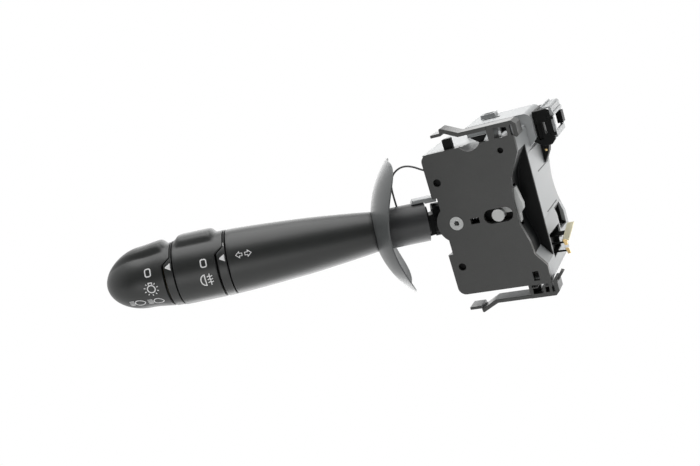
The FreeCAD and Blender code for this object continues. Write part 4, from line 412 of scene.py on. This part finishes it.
knob_start = stepped(157.75, 153.4, step_angle, lead_end_angle)
knob_rows = []
for drop, inset in ((knob_lip, 0.0), (0.1, 0.1), (0.0, knob_lip)):
    knob_rows.append(lambda a, d=drop, i=inset: (knob_start(a) + i, knob_skin(knob_start(a) + i, a) - d))
for step in range(1, 24):
    knob_rows.append(
        lambda a, t=step / 24.0: (
            knob_start(a) + knob_lip + (nose_start - knob_start(a) - knob_lip) * t,
            knob_skin(knob_start(a) + knob_lip + (nose_start - knob_start(a) - knob_lip) * t, a),
        )
    )
for turn in range(0, 31):
    reach = nose_start + nose_length * math.sin(math.radians(3.0 * turn))
    knob_rows.append(lambda a, r=reach: (r, knob_skin(r, a)))
for station, radius in ((188.6, 0.0), (184.0, 7.0), (172.0, 12.3)):
    knob_rows.append(lambda a, s=station, r=radius: (s, r))
knob_rows.append(lambda a: (knob_start(a), 14.2))
light_knob = turned("light_knob_cap", knob_rows, stalk_black)
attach(light_knob, "light_knob")
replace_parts(light_knob, "light_knob")

# Printed signs: thin white paint on the knobs, the rings and the stalk.
# They are common symbols: off, side lamps, dipped and main beam, rear fog lamp, turn arrows and pointers.
printed_white = moulded("printed_white", (0.86, 0.86, 0.86), 0.5, 0.15, 0.3, mottle=0.04)


def ribbon(points, width, closed):
    """The two sides of a painted line through the points, each side a list."""
    left, right = [], []
    count = len(points)
    for index in range(count):
        here = Vector(points[index])
        before = Vector(points[(index - 1) % count]) if closed or index > 0 else None
        after = Vector(points[(index + 1) % count]) if closed or index < count - 1 else None
        first = (here - before).normalized() if before is not None else None
        second = (after - here).normalized() if after is not None else None
        way = (first + second).normalized() if first is not None and second is not None else (first or second)
        reach = width * 0.5
        if first is not None and second is not None:
            reach = reach / max(way.dot(first), 0.4)
        normal = Vector((-way.y, way.x))
        left.append(here + normal * reach)
        right.append(here - normal * reach)
    return left, right


def refined(points, closed, step=0.35):
    """The same line with more points, so that the paint follows the round surface."""
    result = []
    count = len(points)
    for index in range(count if closed else count - 1):
        a, b = Vector(points[index]), Vector(points[(index + 1) % count])
        parts = max(int((b - a).length / step), 1)
        for part in range(parts):
            result.append(tuple(a + (b - a) * (part / parts)))
    if not closed:
        result.append(tuple(points[-1]))
    return result


def printed(name, shapes, station, angle, skin, body):
    """Painted lines and patches. Shapes are given flat, in mm: right is towards the collar, up is up."""
    vertices, faces = [], []
    centre = math.radians(angle)

    def laid(u, v, lift):
        s = station - u
        radius = skin(s, angle)
        a = angle + math.degrees(v / radius)
        return on_stalk(s, skin(s, a) + lift, a)

    def slab(outline_pairs, closed):
        start = len(vertices)
        for left, right in outline_pairs:
            for point, lift in ((left, 0.035), (right, 0.035), (right, -0.06), (left, -0.06)):
                vertices.append(laid(point[0], point[1], lift))
        count = len(outline_pairs)
        for index in range(count if closed else count - 1):
            a = start + 4 * index
            b = start + 4 * ((index + 1) % count)
            for corner in range(4):
                after = (corner + 1) % 4
                faces.append((a + corner, a + after, b + after, b + corner))
        if not closed:
            faces.append((start, start + 3, start + 2, start + 1))
            last = start + 4 * (count - 1)
            faces.append((last, last + 1, last + 2, last + 3))

    for kind, points, width in shapes:
        if kind == "line" or kind == "loop":
            closed = kind == "loop"
            fine_points = refined(points, closed)
            left, right = ribbon(fine_points, width, closed)
            slab(list(zip(left, right)), closed)
        else:
            # a patch lies between two lines of equal count and is laid in narrow strips
            first, second = points
            for strip in range(width):
                near, far = strip / width, (strip + 1) / width
                pairs = []
                for a, b in zip(first, second):
                    a, b = Vector(a), Vector(b)
                    pairs.append((a + (b - a) * near, a + (b - a) * far))
                slab(pairs, False)
    piece = new_piece(name, vertices, faces, printed_white, 30.0)
    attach(piece, body)
    return piece


def zero_sign():
    corners = []
    for x, y, start in ((0.55, 1.1, 0), (-0.55, 1.1, 90), (-0.55, -1.1, 180), (0.55, -1.1, 270)):
        for step in range(4):
            turn = math.radians(start + step * 30.0)
            corners.append((x + 0.85 * math.cos(turn), y + 0.85 * math.sin(turn)))
    return [("loop", corners, 0.62)]


def fog_face(station, angle):
    return fog_radius


arrows = []
for side in (-1, 1):
    outline = [(0.75, 0.7), (2.15, 0.7), (2.15, 1.6), (3.95, 0.0), (2.15, -1.6), (2.15, -0.7), (0.75, -0.7)]
    arrows.append(("loop", [(side * x, y) for x, y in outline], 0.34))
printed("turn_arrows", arrows, 115.5, 22.0, body_skin, "stalk")
printed("fog_off_sign", zero_sign(), 136.2, 20.0, fog_face, "fog_ring")
half_turns = [math.radians(-90.0 + 180.0 * step / 14.0) for step in range(15)]
fog_sign = [("loop", [(-0.5 - 2.3 * math.cos(t), 2.9 * math.sin(t)) for t in half_turns], 0.6)]
for y in (1.6, 0.0, -1.6):
    fog_sign.append(("line", [(0.6, y), (1.5, y + 0.35), (2.4, y - 0.05), (3.4, y + 0.35)], 0.5))
fog_sign.append(("line", [(2.0, 3.2), (1.9, 1.1), (2.1, -1.1), (2.0, -3.2)], 0.5))
printed("fog_lamp_sign", fog_sign, 136.5, -9.5, fog_face, "fog_ring")
printed("light_off_sign", zero_sign(), 165.3, 24.6, knob_skin, "light_knob")
circle_step = 0.3491
turns = [circle_step * step for step in range(18)]
bulb = [("loop", [(2.0 * math.cos(t), 2.0 * math.sin(t) - 0.3) for t in turns], 0.6)]
bulb.append(("line", [(-0.9, 1.9), (-0.9, 3.0), (0.9, 3.0), (0.9, 1.9)], 0.55))
for turn in (-160.0, -125.0, -90.0, -55.0, -20.0, 15.0, 165.0, 50.0, 130.0):
    c, s = math.cos(math.radians(turn)), math.sin(math.radians(turn))
    bulb.append(("line", [(2.95 * c, 2.95 * s - 0.3), (3.85 * c, 3.85 * s - 0.3)], 0.5))
printed("side_lamp_sign", bulb, 165.2, -6.5, knob_skin, "light_knob")
for label, station, angle in (("dipped_beam_sign", 175.2, -36.5), ("main_beam_sign", 165.6, -38.0)):
    lamp = [(1.9 + 2.6 * math.cos(t), 1.9 * math.sin(t) * (1.0 - 0.18 * math.cos(t))) for t in turns]
    beam = [("loop", lamp, 0.4)]
    for index in range(5):
        y = 1.6 - 0.8 * index
        tilt = -0.7 if label.startswith("dipped") else 0.0
        beam.append(("line", [(-1.0 - 0.12 * abs(y), y), (-3.7, y + tilt)], 0.28))
    printed(label, beam, station, angle, knob_skin, "light_knob")
upper_edge = [(-1.75 + 3.3 * t / 6.0, 1.9 * t / 6.0) for t in range(1, 7)]
lower_edge = [(x, -y) for x, y in upper_edge]
for label, station, angle, skin in (
    ("fog_pointer", 126.7, 22.0, inner_ring_skin),
    ("light_pointer", 154.6, 26.0, outer_ring_skin),
):
    printed(label, [("patch", (upper_edge, lower_edge), 8)], station, angle, skin, "stalk")

# Collar: a large dished plate, thin and pale at its edge, that keeps the window covered as the stalk swings.
# It is moulded with a short sleeve that grips the core tube, and is close to a piece of a sphere about the pivot.
collar_black = moulded("collar_black", (0.085, 0.09, 0.09), 0.33, 0.2, 0.4, 0.5)
rings = 40
sectors = 160
half_wide, half_tall, squareness, sleeve_radius, sphere_radius = 26.0, 34.6, 3.2, 7.6, 49.6
shield_vertices = []
for inner in (0.0, 1.0):
    for ring in range(rings + 1):
        spread = ring / rings
        for step in range(sectors):
            turn = 2.0 * math.pi * step / sectors
            c, s = math.cos(turn), math.sin(turn)
            reach = (abs(c) / half_wide) ** squareness + (abs(s) / half_tall) ** squareness
            edge = 1.0 / reach ** (1.0 / squareness)
            grown = sleeve_radius + (edge - sleeve_radius) * spread
            side, high = grown * c, grown * s + 0.9 * spread
            depth = 0.1 + math.sqrt(sphere_radius ** 2 - grown ** 2) - inner * (1.6 - 0.9 * spread)
            shield_vertices.append((pivot + along * depth + aside * side + upward * high) * 0.001)
shield_faces = []
sheet = (rings + 1) * sectors
for ring in range(rings):
    for step in range(sectors):
        after = (step + 1) % sectors
        a, b = ring * sectors, (ring + 1) * sectors
        shield_faces.append((a + step, a + after, b + after, b + step))
        shield_faces.append((sheet + a + step, sheet + b + step, sheet + b + after, sheet + a + after))
for step in range(sectors):
    after = (step + 1) % sectors
    rim = rings * sectors
    shield_faces.append((rim + step, rim + after, sheet + rim + after, sheet + rim + step))
    shield_faces.append((step, sheet + step, sheet + after, after))
collar = new_piece("collar_plate", shield_vertices, shield_faces, collar_black)
rim_bevel = collar.modifiers.new("rim", "BEVEL")
rim_bevel.width = 0.00025
rim_bevel.segments = 3
rim_bevel.limit_method = "ANGLE"
rim_bevel.angle_limit = math.radians(50.0)
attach(collar, "stalk")
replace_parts(collar, "collar_shield")


# Moulded housing parts: the machine-cut shapes of the frame with their edges rounded as a mould rounds them.
# A copy takes the place of each hard-edged solid that can be seen, and small openings are cut into some copies.
def prism(name, outline, way, material):
    """A straight bar in millimetres: an outline of points and the way that it runs."""
    count = len(outline)
    near = [Vector(point) * 0.001 for point in outline]
    far = [point + Vector(way) * 0.001 for point in near]
    sides = [(k, (k + 1) % count, count + (k + 1) % count, count + k) for k in range(count)]
    ends = [tuple(range(count)), tuple(range(count, 2 * count))]
    return new_piece(name, near + far, sides + ends, material)


def softened(node, name, material, body, width=0.3, cuts=()):
    """A rounded copy of a node. Each cut is the outline and the way of a bar that is taken out."""
    mesh = frame["nodes"][node].data.copy()
    mesh.name = name
    work = bmesh.new()
    work.from_mesh(mesh)
    bmesh.ops.remove_doubles(work, verts=work.verts, dist=2e-6)
    bmesh.ops.recalc_face_normals(work, faces=work.faces)
    work.to_mesh(mesh)
    piece = bpy.data.objects.new(name, mesh)
    bpy.context.scene.collection.objects.link(piece)
    cutters = []
    for outline, way in cuts:
        cutter = prism("cutter", outline, way, material)
        opening = piece.modifiers.new("opening", "BOOLEAN")
        opening.operation = "DIFFERENCE"
        opening.solver = "EXACT"
        opening.object = cutter
        cutters.append(cutter)
    if cutters:
        shaped = piece.evaluated_get(bpy.context.evaluated_depsgraph_get())
        mesh = bpy.data.meshes.new_from_object(shaped)
        piece.data = mesh
        piece.modifiers.clear()
        for cutter in cutters:
            bpy.data.objects.remove(cutter)
    work.clear()
    work.from_mesh(mesh)
    bmesh.ops.remove_doubles(work, verts=work.verts, dist=2e-6)
    bmesh.ops.dissolve_limit(work, angle_limit=math.radians(1.0), verts=work.verts, edges=work.edges)
    for face in work.faces:
        face.smooth = True
        face.material_index = 0
    work.to_mesh(mesh)
    work.free()
    mesh.materials.clear()
    mesh.materials.append(material)
    bevel = piece.modifiers.new("round", "BEVEL")
    bevel.width = width * 0.001
    bevel.segments = 2
    bevel.limit_method = "ANGLE"
    bevel.angle_limit = math.radians(28.0)
    flatter = piece.modifiers.new("flatter", "WEIGHTED_NORMAL")
    flatter.keep_sharp = True
    flatter.weight = 100
    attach(piece, body)
    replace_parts(piece, node)
    return piece


def upright(points, front=-51.0, deep=10.0):
    """An outline on the cover's face, as x and z, that runs backwards."""
    return ([(x, front, z) for x, z in points], (0.0, deep, 0.0))


def block(name, corners, way, material, body):
    """A small moulded block: a bar with rounded edges."""
    piece = prism(name, corners, way, material)
    bevel = piece.modifiers.new("round", "BEVEL")
    bevel.width = 0.00015
    bevel.segments = 2
    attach(piece, body)
    return piece


housing_dark = moulded("housing_dark", (0.046, 0.047, 0.045), 0.33, 0.15, 0.6, 0.5, mottle=0.3)
housing_black = moulded("housing_black", (0.0035, 0.004, 0.004), 0.5, 0.1, 0.5, 0.14)
housing_light = moulded("housing_light", (0.36, 0.372, 0.375), 0.42, 0.2, 0.6, 0.5, mottle=0.07)
white_pom = moulded("white_pom", (0.60, 0.61, 0.60), 0.35, 0.1, 0.6, 0.5, mottle=0.05)
shaft_grey = moulded("shaft_grey", (0.04, 0.041, 0.042), 0.42, 0.3, 0.5, 0.5)
upper_window = [(30.8, 42.7), (33.9, 42.2), (33.9, 39.2), (36.9, 38.9), (36.8, 37.6), (30.1, 37.6)]
upper_pocket = [(34.4, 42.1), (36.9, 41.7), (36.9, 38.8), (34.4, 39.1)]
lower_gap = [(28.7, -38.2), (37.1, -38.2), (37.1, -39.4), (28.7, -39.4)]
lower_pockets = [
    [(29.0, -39.9), (32.4, -39.9), (31.9, -43.0), (28.9, -43.0)],
    [(35.3, -39.9), (37.3, -39.9), (37.0, -42.8), (35.1, -42.8)],
]
softened(
    "front_cover", "cover_plate", housing_dark, "case",
    cuts=[upright(upper_window), upright(lower_gap), upright(upper_pocket, deep=7.0)]
    + [upright(pocket, deep=6.0) for pocket in lower_pockets],
)
# Black blocks at the bottom of the cover's pockets paint the shade inside them.
for number, pocket in enumerate([upper_pocket] + lower_pockets, start=1):
    x0, z0 = pocket[0]
    inner = [((x - x0) * 0.92 + x0 + 0.12, -45.9, (z - z0) * 0.9 + z0 - 0.12) for x, z in pocket]
    block("pocket_painted_shade_%d" % number, inner, (0.0, 1.2, 0.0), housing_black, "case")
hump_slot = [(15.6, -14.8, 43.0), (24.6, -14.8, 43.0), (24.6, -11.0, 43.0), (15.6, -11.0, 43.0)]
carrier = softened(
    "rear_carrier", "carrier_box", housing_light, "case", cuts=[(hump_slot, (0.0, 0.0, -2.2))]
)
# A black block low in the hump's slot paints the shade inside it.
slot_painted_shade = [(15.8, -14.6, 40.9), (24.4, -14.6, 40.9), (24.4, -11.2, 40.9), (15.8, -11.2, 40.9)]
block("slot_painted_shade", slot_painted_shade, (0.0, 0.0, 0.5), housing_black, "case")
corner_web = [(38.6, -48.9, 42.4), (39.7, -48.9, 42.4), (39.7, -48.9, 36.6), (38.9, -48.9, 35.9)]
block("corner_web", corner_web, (0.0, 1.5, 0.0), housing_light, "case")
# The recess liner is black to paint the deep shade between the cover's concave edge and the side wall.
softened("saddle_liner", "recess_shade_liner", housing_black, "case")
# The stop blocks are black plastic; the triangular fin among them is black to paint the shade under the upper
# arm.
softened("arm_stops", "stop_blocks_and_shade_fin", housing_black, "case")
softened("top_latch_arm", "upper_snap_arm", housing_dark, "top_arm")
softened("bottom_latch_arm", "lower_snap_arm", housing_dark, "bottom_arm")
softened("cancel_finger", "white_finger", white_pom, "cancel_finger")
softened("finger_carriage", "black_carriage", housing_black, "cancel_finger")
softened("loop_clip", "bar_clip", housing_black, "case", 0.2)
softened("blade_block", "blade_holder", housing_black, "case")
softened("plug_socket", "socket_shell", housing_black, "case")
softened("column_bracket", "side_bracket", housing_black, "case")
softened("snap_frame", "snap_loop", housing_light, "case")
softened("shaft_key", "pale_key", housing_light, "stalk")
softened("stalk_shaft", "shaft_tube", shaft_grey, "stalk")
softened("stalk_root", "root_block", housing_black, "stalk")

# Cradle: a moulded black ring that turns in the housing and carries the stalk on a steel pin.
# A white bushing is pressed on its front trunnion, where it shows in the cover's hole.
cradle = softened("gimbal_cradle", "cradle_ring", housing_black, "cradle")
cradle.data.materials.append(white_pom)
bushing_back = -0.0428
for face in cradle.data.polygons:
    if face.center.y < bushing_back:
        face.material_index = 1


# Claws: the black crown of clips inside the shaft's mouth, which shows as a dark clump beside the cover.
# On the driver's side they are shorter and lie closer in, clear of the cover when the stalk is pulled.
def near_driver(angle):
    off = abs((angle + 180.0) % 360.0 - 180.0)
    return math.cos(math.radians(1.4 * off)) if off < 64.0 else 0.0


claw_foot, claw_length, claw_radius, claw_bore = 17.5, 6.0, 8.55, 5.7
claw_rows = []
for step in range(9):
    share = step / 8.0
    claw_rows.append(
        lambda a, t=share: (
            claw_foot - (claw_length + 0.9 * math.cos(math.radians(9.0 * a)) - 2.0 * near_driver(a)) * t,
            claw_radius - 2.1 * near_driver(a) - 0.5 * t * t + 0.28 * math.cos(math.radians(18.0 * a)) * t,
        )
    )
claw_rows.append(lambda a: (11.8, claw_bore))
claw_rows.append(lambda a: (claw_foot, claw_bore))
claws = turned("claw_crown", claw_rows, housing_black)
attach(claws, "stalk")

# Side wall: black linings carry the socket and the blades' recess out to the leaning wall; the recess lining is
# black to paint the shade inside the blades' recess.
# Two thin dark strips run back along it, painted shade in its creases.
wall_points = [vertex.co for vertex in carrier.data.vertices]
wall_tree = BVHTree.FromPolygons(wall_points, [tuple(face.vertices) for face in carrier.data.polygons])
plain_wall = 40.0


def wall_at(y, z):
    """How far out the carrier's side wall is at a place, in millimetres."""
    met = wall_tree.ray_cast(Vector((0.048, y * 0.001, z * 0.001)), Vector((-1.0, 0.0, 0.0)))
    return met[0].x * 1000.0 if met[0] is not None and met[0].x > 0.038 else plain_wall


def drawn_in(value, middle, high, thick):
    return middle + (value - middle) * (1.0 - thick / (high - middle))


def lining(name, y_low, y_high, z_low, z_high, back, thick):
    """A thin square sleeve in the side wall, from a depth behind it out to its face."""
    corners = [(y_low, z_low), (y_high, z_low), (y_high, z_high), (y_low, z_high)]
    middle_y, middle_z = (y_low + y_high) / 2.0, (z_low + z_high) / 2.0
    vertices, faces = [], []
    loop = []
    for (ya, za), (yb, zb) in zip(corners, corners[1:] + corners[:1]):
        for step in range(8):
            loop.append((ya + (yb - ya) * step / 8.0, za + (zb - za) * step / 8.0))
    for y, z in loop:
        within = (drawn_in(y, middle_y, y_high, thick), drawn_in(z, middle_z, z_high, thick))
        outward = (y + (0.7 if y > middle_y else -0.7), z + (0.7 if z > middle_z else -0.7))
        reach = min(wall_at(outward[0], outward[1]), wall_at(y, outward[1]), wall_at(outward[0], z)) - 0.1
        vertices += [(back, y, z), (reach, y, z), (reach, within[0], within[1]), (back, within[0], within[1])]
    count = len(loop)
    for k in range(count):
        a, b = 4 * k, 4 * ((k + 1) % count)
        for edge in range(4):
            after = (edge + 1) % 4
            faces.append((a + edge, a + after, b + after, b + edge))
    piece = new_piece(name, [Vector(v) * 0.001 for v in vertices], faces, housing_black)
    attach(piece, "case")


lining("recess_shade_lining", -32.9, -15.7, -31.3, -19.1, 36.8, 0.4)
lining("socket_lining", -14.1, -3.7, -22.7, -10.9, 40.0, 0.9)
# The creases' dark colour is painted shade, not a colour of the wall.
crease_painted_shade = moulded("crease_painted_shade", (0.03, 0.032, 0.033), 0.5, 0.1, 0.4)
crease_steps = 28
for number, (height, front, back) in enumerate(((12.05, -24.8, -2.4), (-9.2, -26.0, -5.0)), start=1):
    vertices, faces = [], []
    for step in range(crease_steps + 1):
        y = front + (back - front) * step / crease_steps
        half = 0.34 if 0 < step < crease_steps else 0.05
        for z in (height - half, height + half):
            vertices.append(Vector((wall_at(y, z) + 0.03, y, z)) * 0.001)
            vertices.append(Vector((wall_at(y, z) - 0.05, y, z)) * 0.001)
    for step in range(crease_steps):
        a = 4 * step
        faces += [(a, a + 2, a + 6, a + 4), (a + 1, a + 5, a + 7, a + 3)]
        faces += [(a, a + 4, a + 5, a + 1), (a + 2, a + 3, a + 7, a + 6)]
    end = 4 * crease_steps
    faces += [(0, 1, 3, 2), (end, end + 2, end + 3, end + 1)]
    crease = new_piece("wall_crease_shade_%d" % number, vertices, faces, crease_painted_shade)
    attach(crease, "case")

# Brass parts in the side wall: two short tabs and one tall blade that leans back, punched and pressed in.
# A small brass rivet holds the bracket's foot.
# Other inner and metal parts keep their shapes and get their own finish.
brass = moulded("brass_contact", (0.80, 0.58, 0.27), 0.28, 0.05, 0.5, metal=1.0, mottle=0.1)
tin_brass = moulded("tin_brass", (0.86, 0.81, 0.60), 0.3, 0.05, 0.5, metal=0.35, mottle=0.06)
# The stems of the tabs and of the tall blade lie deep in the recess and are coloured black, as painted shade over
# the brass.
for name, node, outline, way, material in (
    (
        "brass_tab_1", "terminal_blades",
        [(43.7, -28.4, -24.1), (45.7, -28.4, -24.5), (45.9, -28.4, -27.2), (44.3, -28.4, -27.4)],
        (0.0, 0.8, 0.0), brass,
    ),
    (
        "brass_tab_2", "terminal_blades",
        [(44.1, -28.4, -28.7), (46.0, -28.4, -29.1), (46.4, -28.4, -31.8), (44.9, -28.4, -32.1)],
        (0.0, 0.8, 0.0), brass,
    ),
    (
        "blade_stem_painted_shade_1", "terminal_blades",
        [(36.6, -28.3, -25.0), (44.4, -28.3, -25.2), (44.4, -28.3, -26.2), (36.6, -28.3, -26.0)],
        (0.0, 0.6, 0.0), housing_black,
    ),
    (
        "blade_stem_painted_shade_2", "terminal_blades",
        [(36.6, -28.3, -29.4), (44.9, -28.3, -29.8), (44.9, -28.3, -30.7), (36.6, -28.3, -30.4)],
        (0.0, 0.6, 0.0), housing_black,
    ),
    (
        "tall_blade", "strap_blade",
        [(43.3, -27.2, -25.6), (46.8, -27.2, -25.6), (48.9, -15.8, -20.0), (45.2, -15.8, -20.0)],
        (0.0, -0.35, 0.75), tin_brass,
    ),
    (
        "tall_blade_stem_painted_shade", "strap_blade",
        [(36.6, -22.8, -23.6), (45.0, -22.8, -23.6), (45.0, -20.4, -22.4), (36.6, -20.4, -22.4)],
        (0.0, -0.3, 0.6), housing_black,
    ),
):
    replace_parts(block(name, outline, way, material, "case"), node)


def ringed(name, loops, material):
    """A closed skin over a row of loops of points, with a flat end at each side."""
    count = len(loops[0])
    faces = []
    for index in range(len(loops) - 1):
        for side in range(count):
            after = (side + 1) % count
            a, b = index * count, (index + 1) * count
            faces.append((a + side, a + after, b + after, b + side))
    faces.append(tuple(range(count)))
    faces.append(tuple(range((len(loops) - 1) * count, len(loops) * count)))
    return new_piece(name, [point for loop in loops for point in loop], faces, material)


rivet_x, rivet_y, rivet_z = 42.6, -9.98, 19.1
rivet_loops = []
for out, radius in ((0.0, 0.75), (0.2, 0.74), (0.38, 0.58), (0.48, 0.3)):
    loop = []
    for step in range(16):
        turn = 2.0 * math.pi * step / 16.0
        spot = (rivet_x + radius * math.cos(turn), rivet_y - out, rivet_z + radius * math.sin(turn))
        loop.append(Vector(spot) * 0.001)
    rivet_loops.append(loop)
rivet = ringed("foot_rivet", rivet_loops, brass)
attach(rivet, "case")
steel = moulded("spring_steel", (0.56, 0.57, 0.58), 0.3, 0.05, 0.5, metal=1.0, mottle=0.06)
laminate = moulded("board_laminate", (0.40, 0.33, 0.17), 0.5, 0.2, 0.8)
finishes = {
    "housing_dark": housing_dark, "housing_black": housing_black, "housing_light": housing_light,
    "white_pom": white_pom, "stalk_black": stalk_black, "shaft_grey": shaft_grey, "board_laminate": laminate,
    "brass_contact": brass, "spring_steel": steel,
}
for part in frame["record"]["subparts"]:
    node = frame["nodes"][part["node"]]
    finish = finishes.get(part["material_slot"])
    if finish is not None:
        for slot in node.material_slots:
            slot.material = finish

# Finger spring: a steel coil behind the white finger, from the cover's stop to the finger's bar.
# It is built fixed in one place and does not move with the finger.
spring_turns, spring_steps, spring_sides, coil_radius, steel_radius = 3.5, 84, 10, 0.0014, 0.00025
spring_first, spring_last = Vector((0.0058, -0.04505, 0.0002)), Vector((0.0112, -0.04505, 0.0002))
axis = Vector((1.0, 0.0, 0.0))
spring_loops = []
for step in range(spring_steps + 1):
    share = step / spring_steps
    turn = 2.0 * math.pi * spring_turns * share
    spoke = Vector((0.0, math.cos(turn), math.sin(turn)))
    centre = spring_first.lerp(spring_last, share) + spoke * coil_radius
    loop = []
    for side in range(spring_sides):
        round_wire = 2.0 * math.pi * side / spring_sides
        loop.append(centre + (spoke * math.cos(round_wire) + axis * math.sin(round_wire)) * steel_radius)
    spring_loops.append(loop)
finger_spring = ringed("finger_coil", spring_loops, steel)
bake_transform(finger_spring)
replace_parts(finger_spring, "finger_spring")

# Lead: a thin black wire from the hole in the shaft, up and over to the hole in the side wall.
# It is built in two halves, one by the housing and one by the shaft, both fixed in place.
lead_rubber = moulded("lead_black", (0.09, 0.09, 0.092), 0.4, 0.1, 0.3)
lead_radius, lead_sides, lead_y = 0.0005, 16, -0.044
across = Vector((0.0, 1.0, 0.0))
lead_points = [
    (-31.6, 12.85), (-31.7, 18.5), (-31.2, 25.5), (-28.2, 30.8), (-22.6, 33.4), (-17.2, 32.4), (-12.6, 29.6),
    (-9.6, 28.1), (-5.0, 27.9),
]
lead_data = bpy.data.curves.new("lead_line", "CURVE")
lead_data.dimensions = "3D"
spline = lead_data.splines.new("NURBS")
spline.points.add(len(lead_points) - 1)
for point, (x, z) in zip(spline.points, lead_points):
    point.co = (x * 0.001, lead_y, z * 0.001, 1.0)
spline.order_u = 3
spline.use_endpoint_u = True
spline.resolution_u = 12
lead_line = bpy.data.objects.new("lead_line", lead_data)
path_mesh = bpy.data.meshes.new_from_object(lead_line)
path = [vertex.co.copy() for vertex in path_mesh.vertices]
upper = [index for index in range(len(path)) if path[index].z > 0.03]
split = min(upper, key=lambda index: abs(path[index].x + 0.0225))
for label, part, bodies, start, end in (
    ("lead_by_shaft", path[: split + 1], ("cradle", "stalk"), path[split], path[0]),
    ("lead_by_housing", path[split:], ("case", "cradle"), path[-1], path[split]),
):
    loops = []
    for index, point in enumerate(part):
        ahead = part[min(index + 1, len(part) - 1)]
        behind = part[max(index - 1, 0)]
        other = (ahead - behind).normalized().cross(across).normalized()
        loop = []
        for side in range(lead_sides):
            turn = 2.0 * math.pi * side / lead_sides
            loop.append(point + (across * math.cos(turn) + other * math.sin(turn)) * lead_radius)
        loops.append(loop)
    half = ringed(label, loops, lead_rubber)
    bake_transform(half)
    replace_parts(half, "lead_wire")
bpy.data.objects.remove(lead_line)
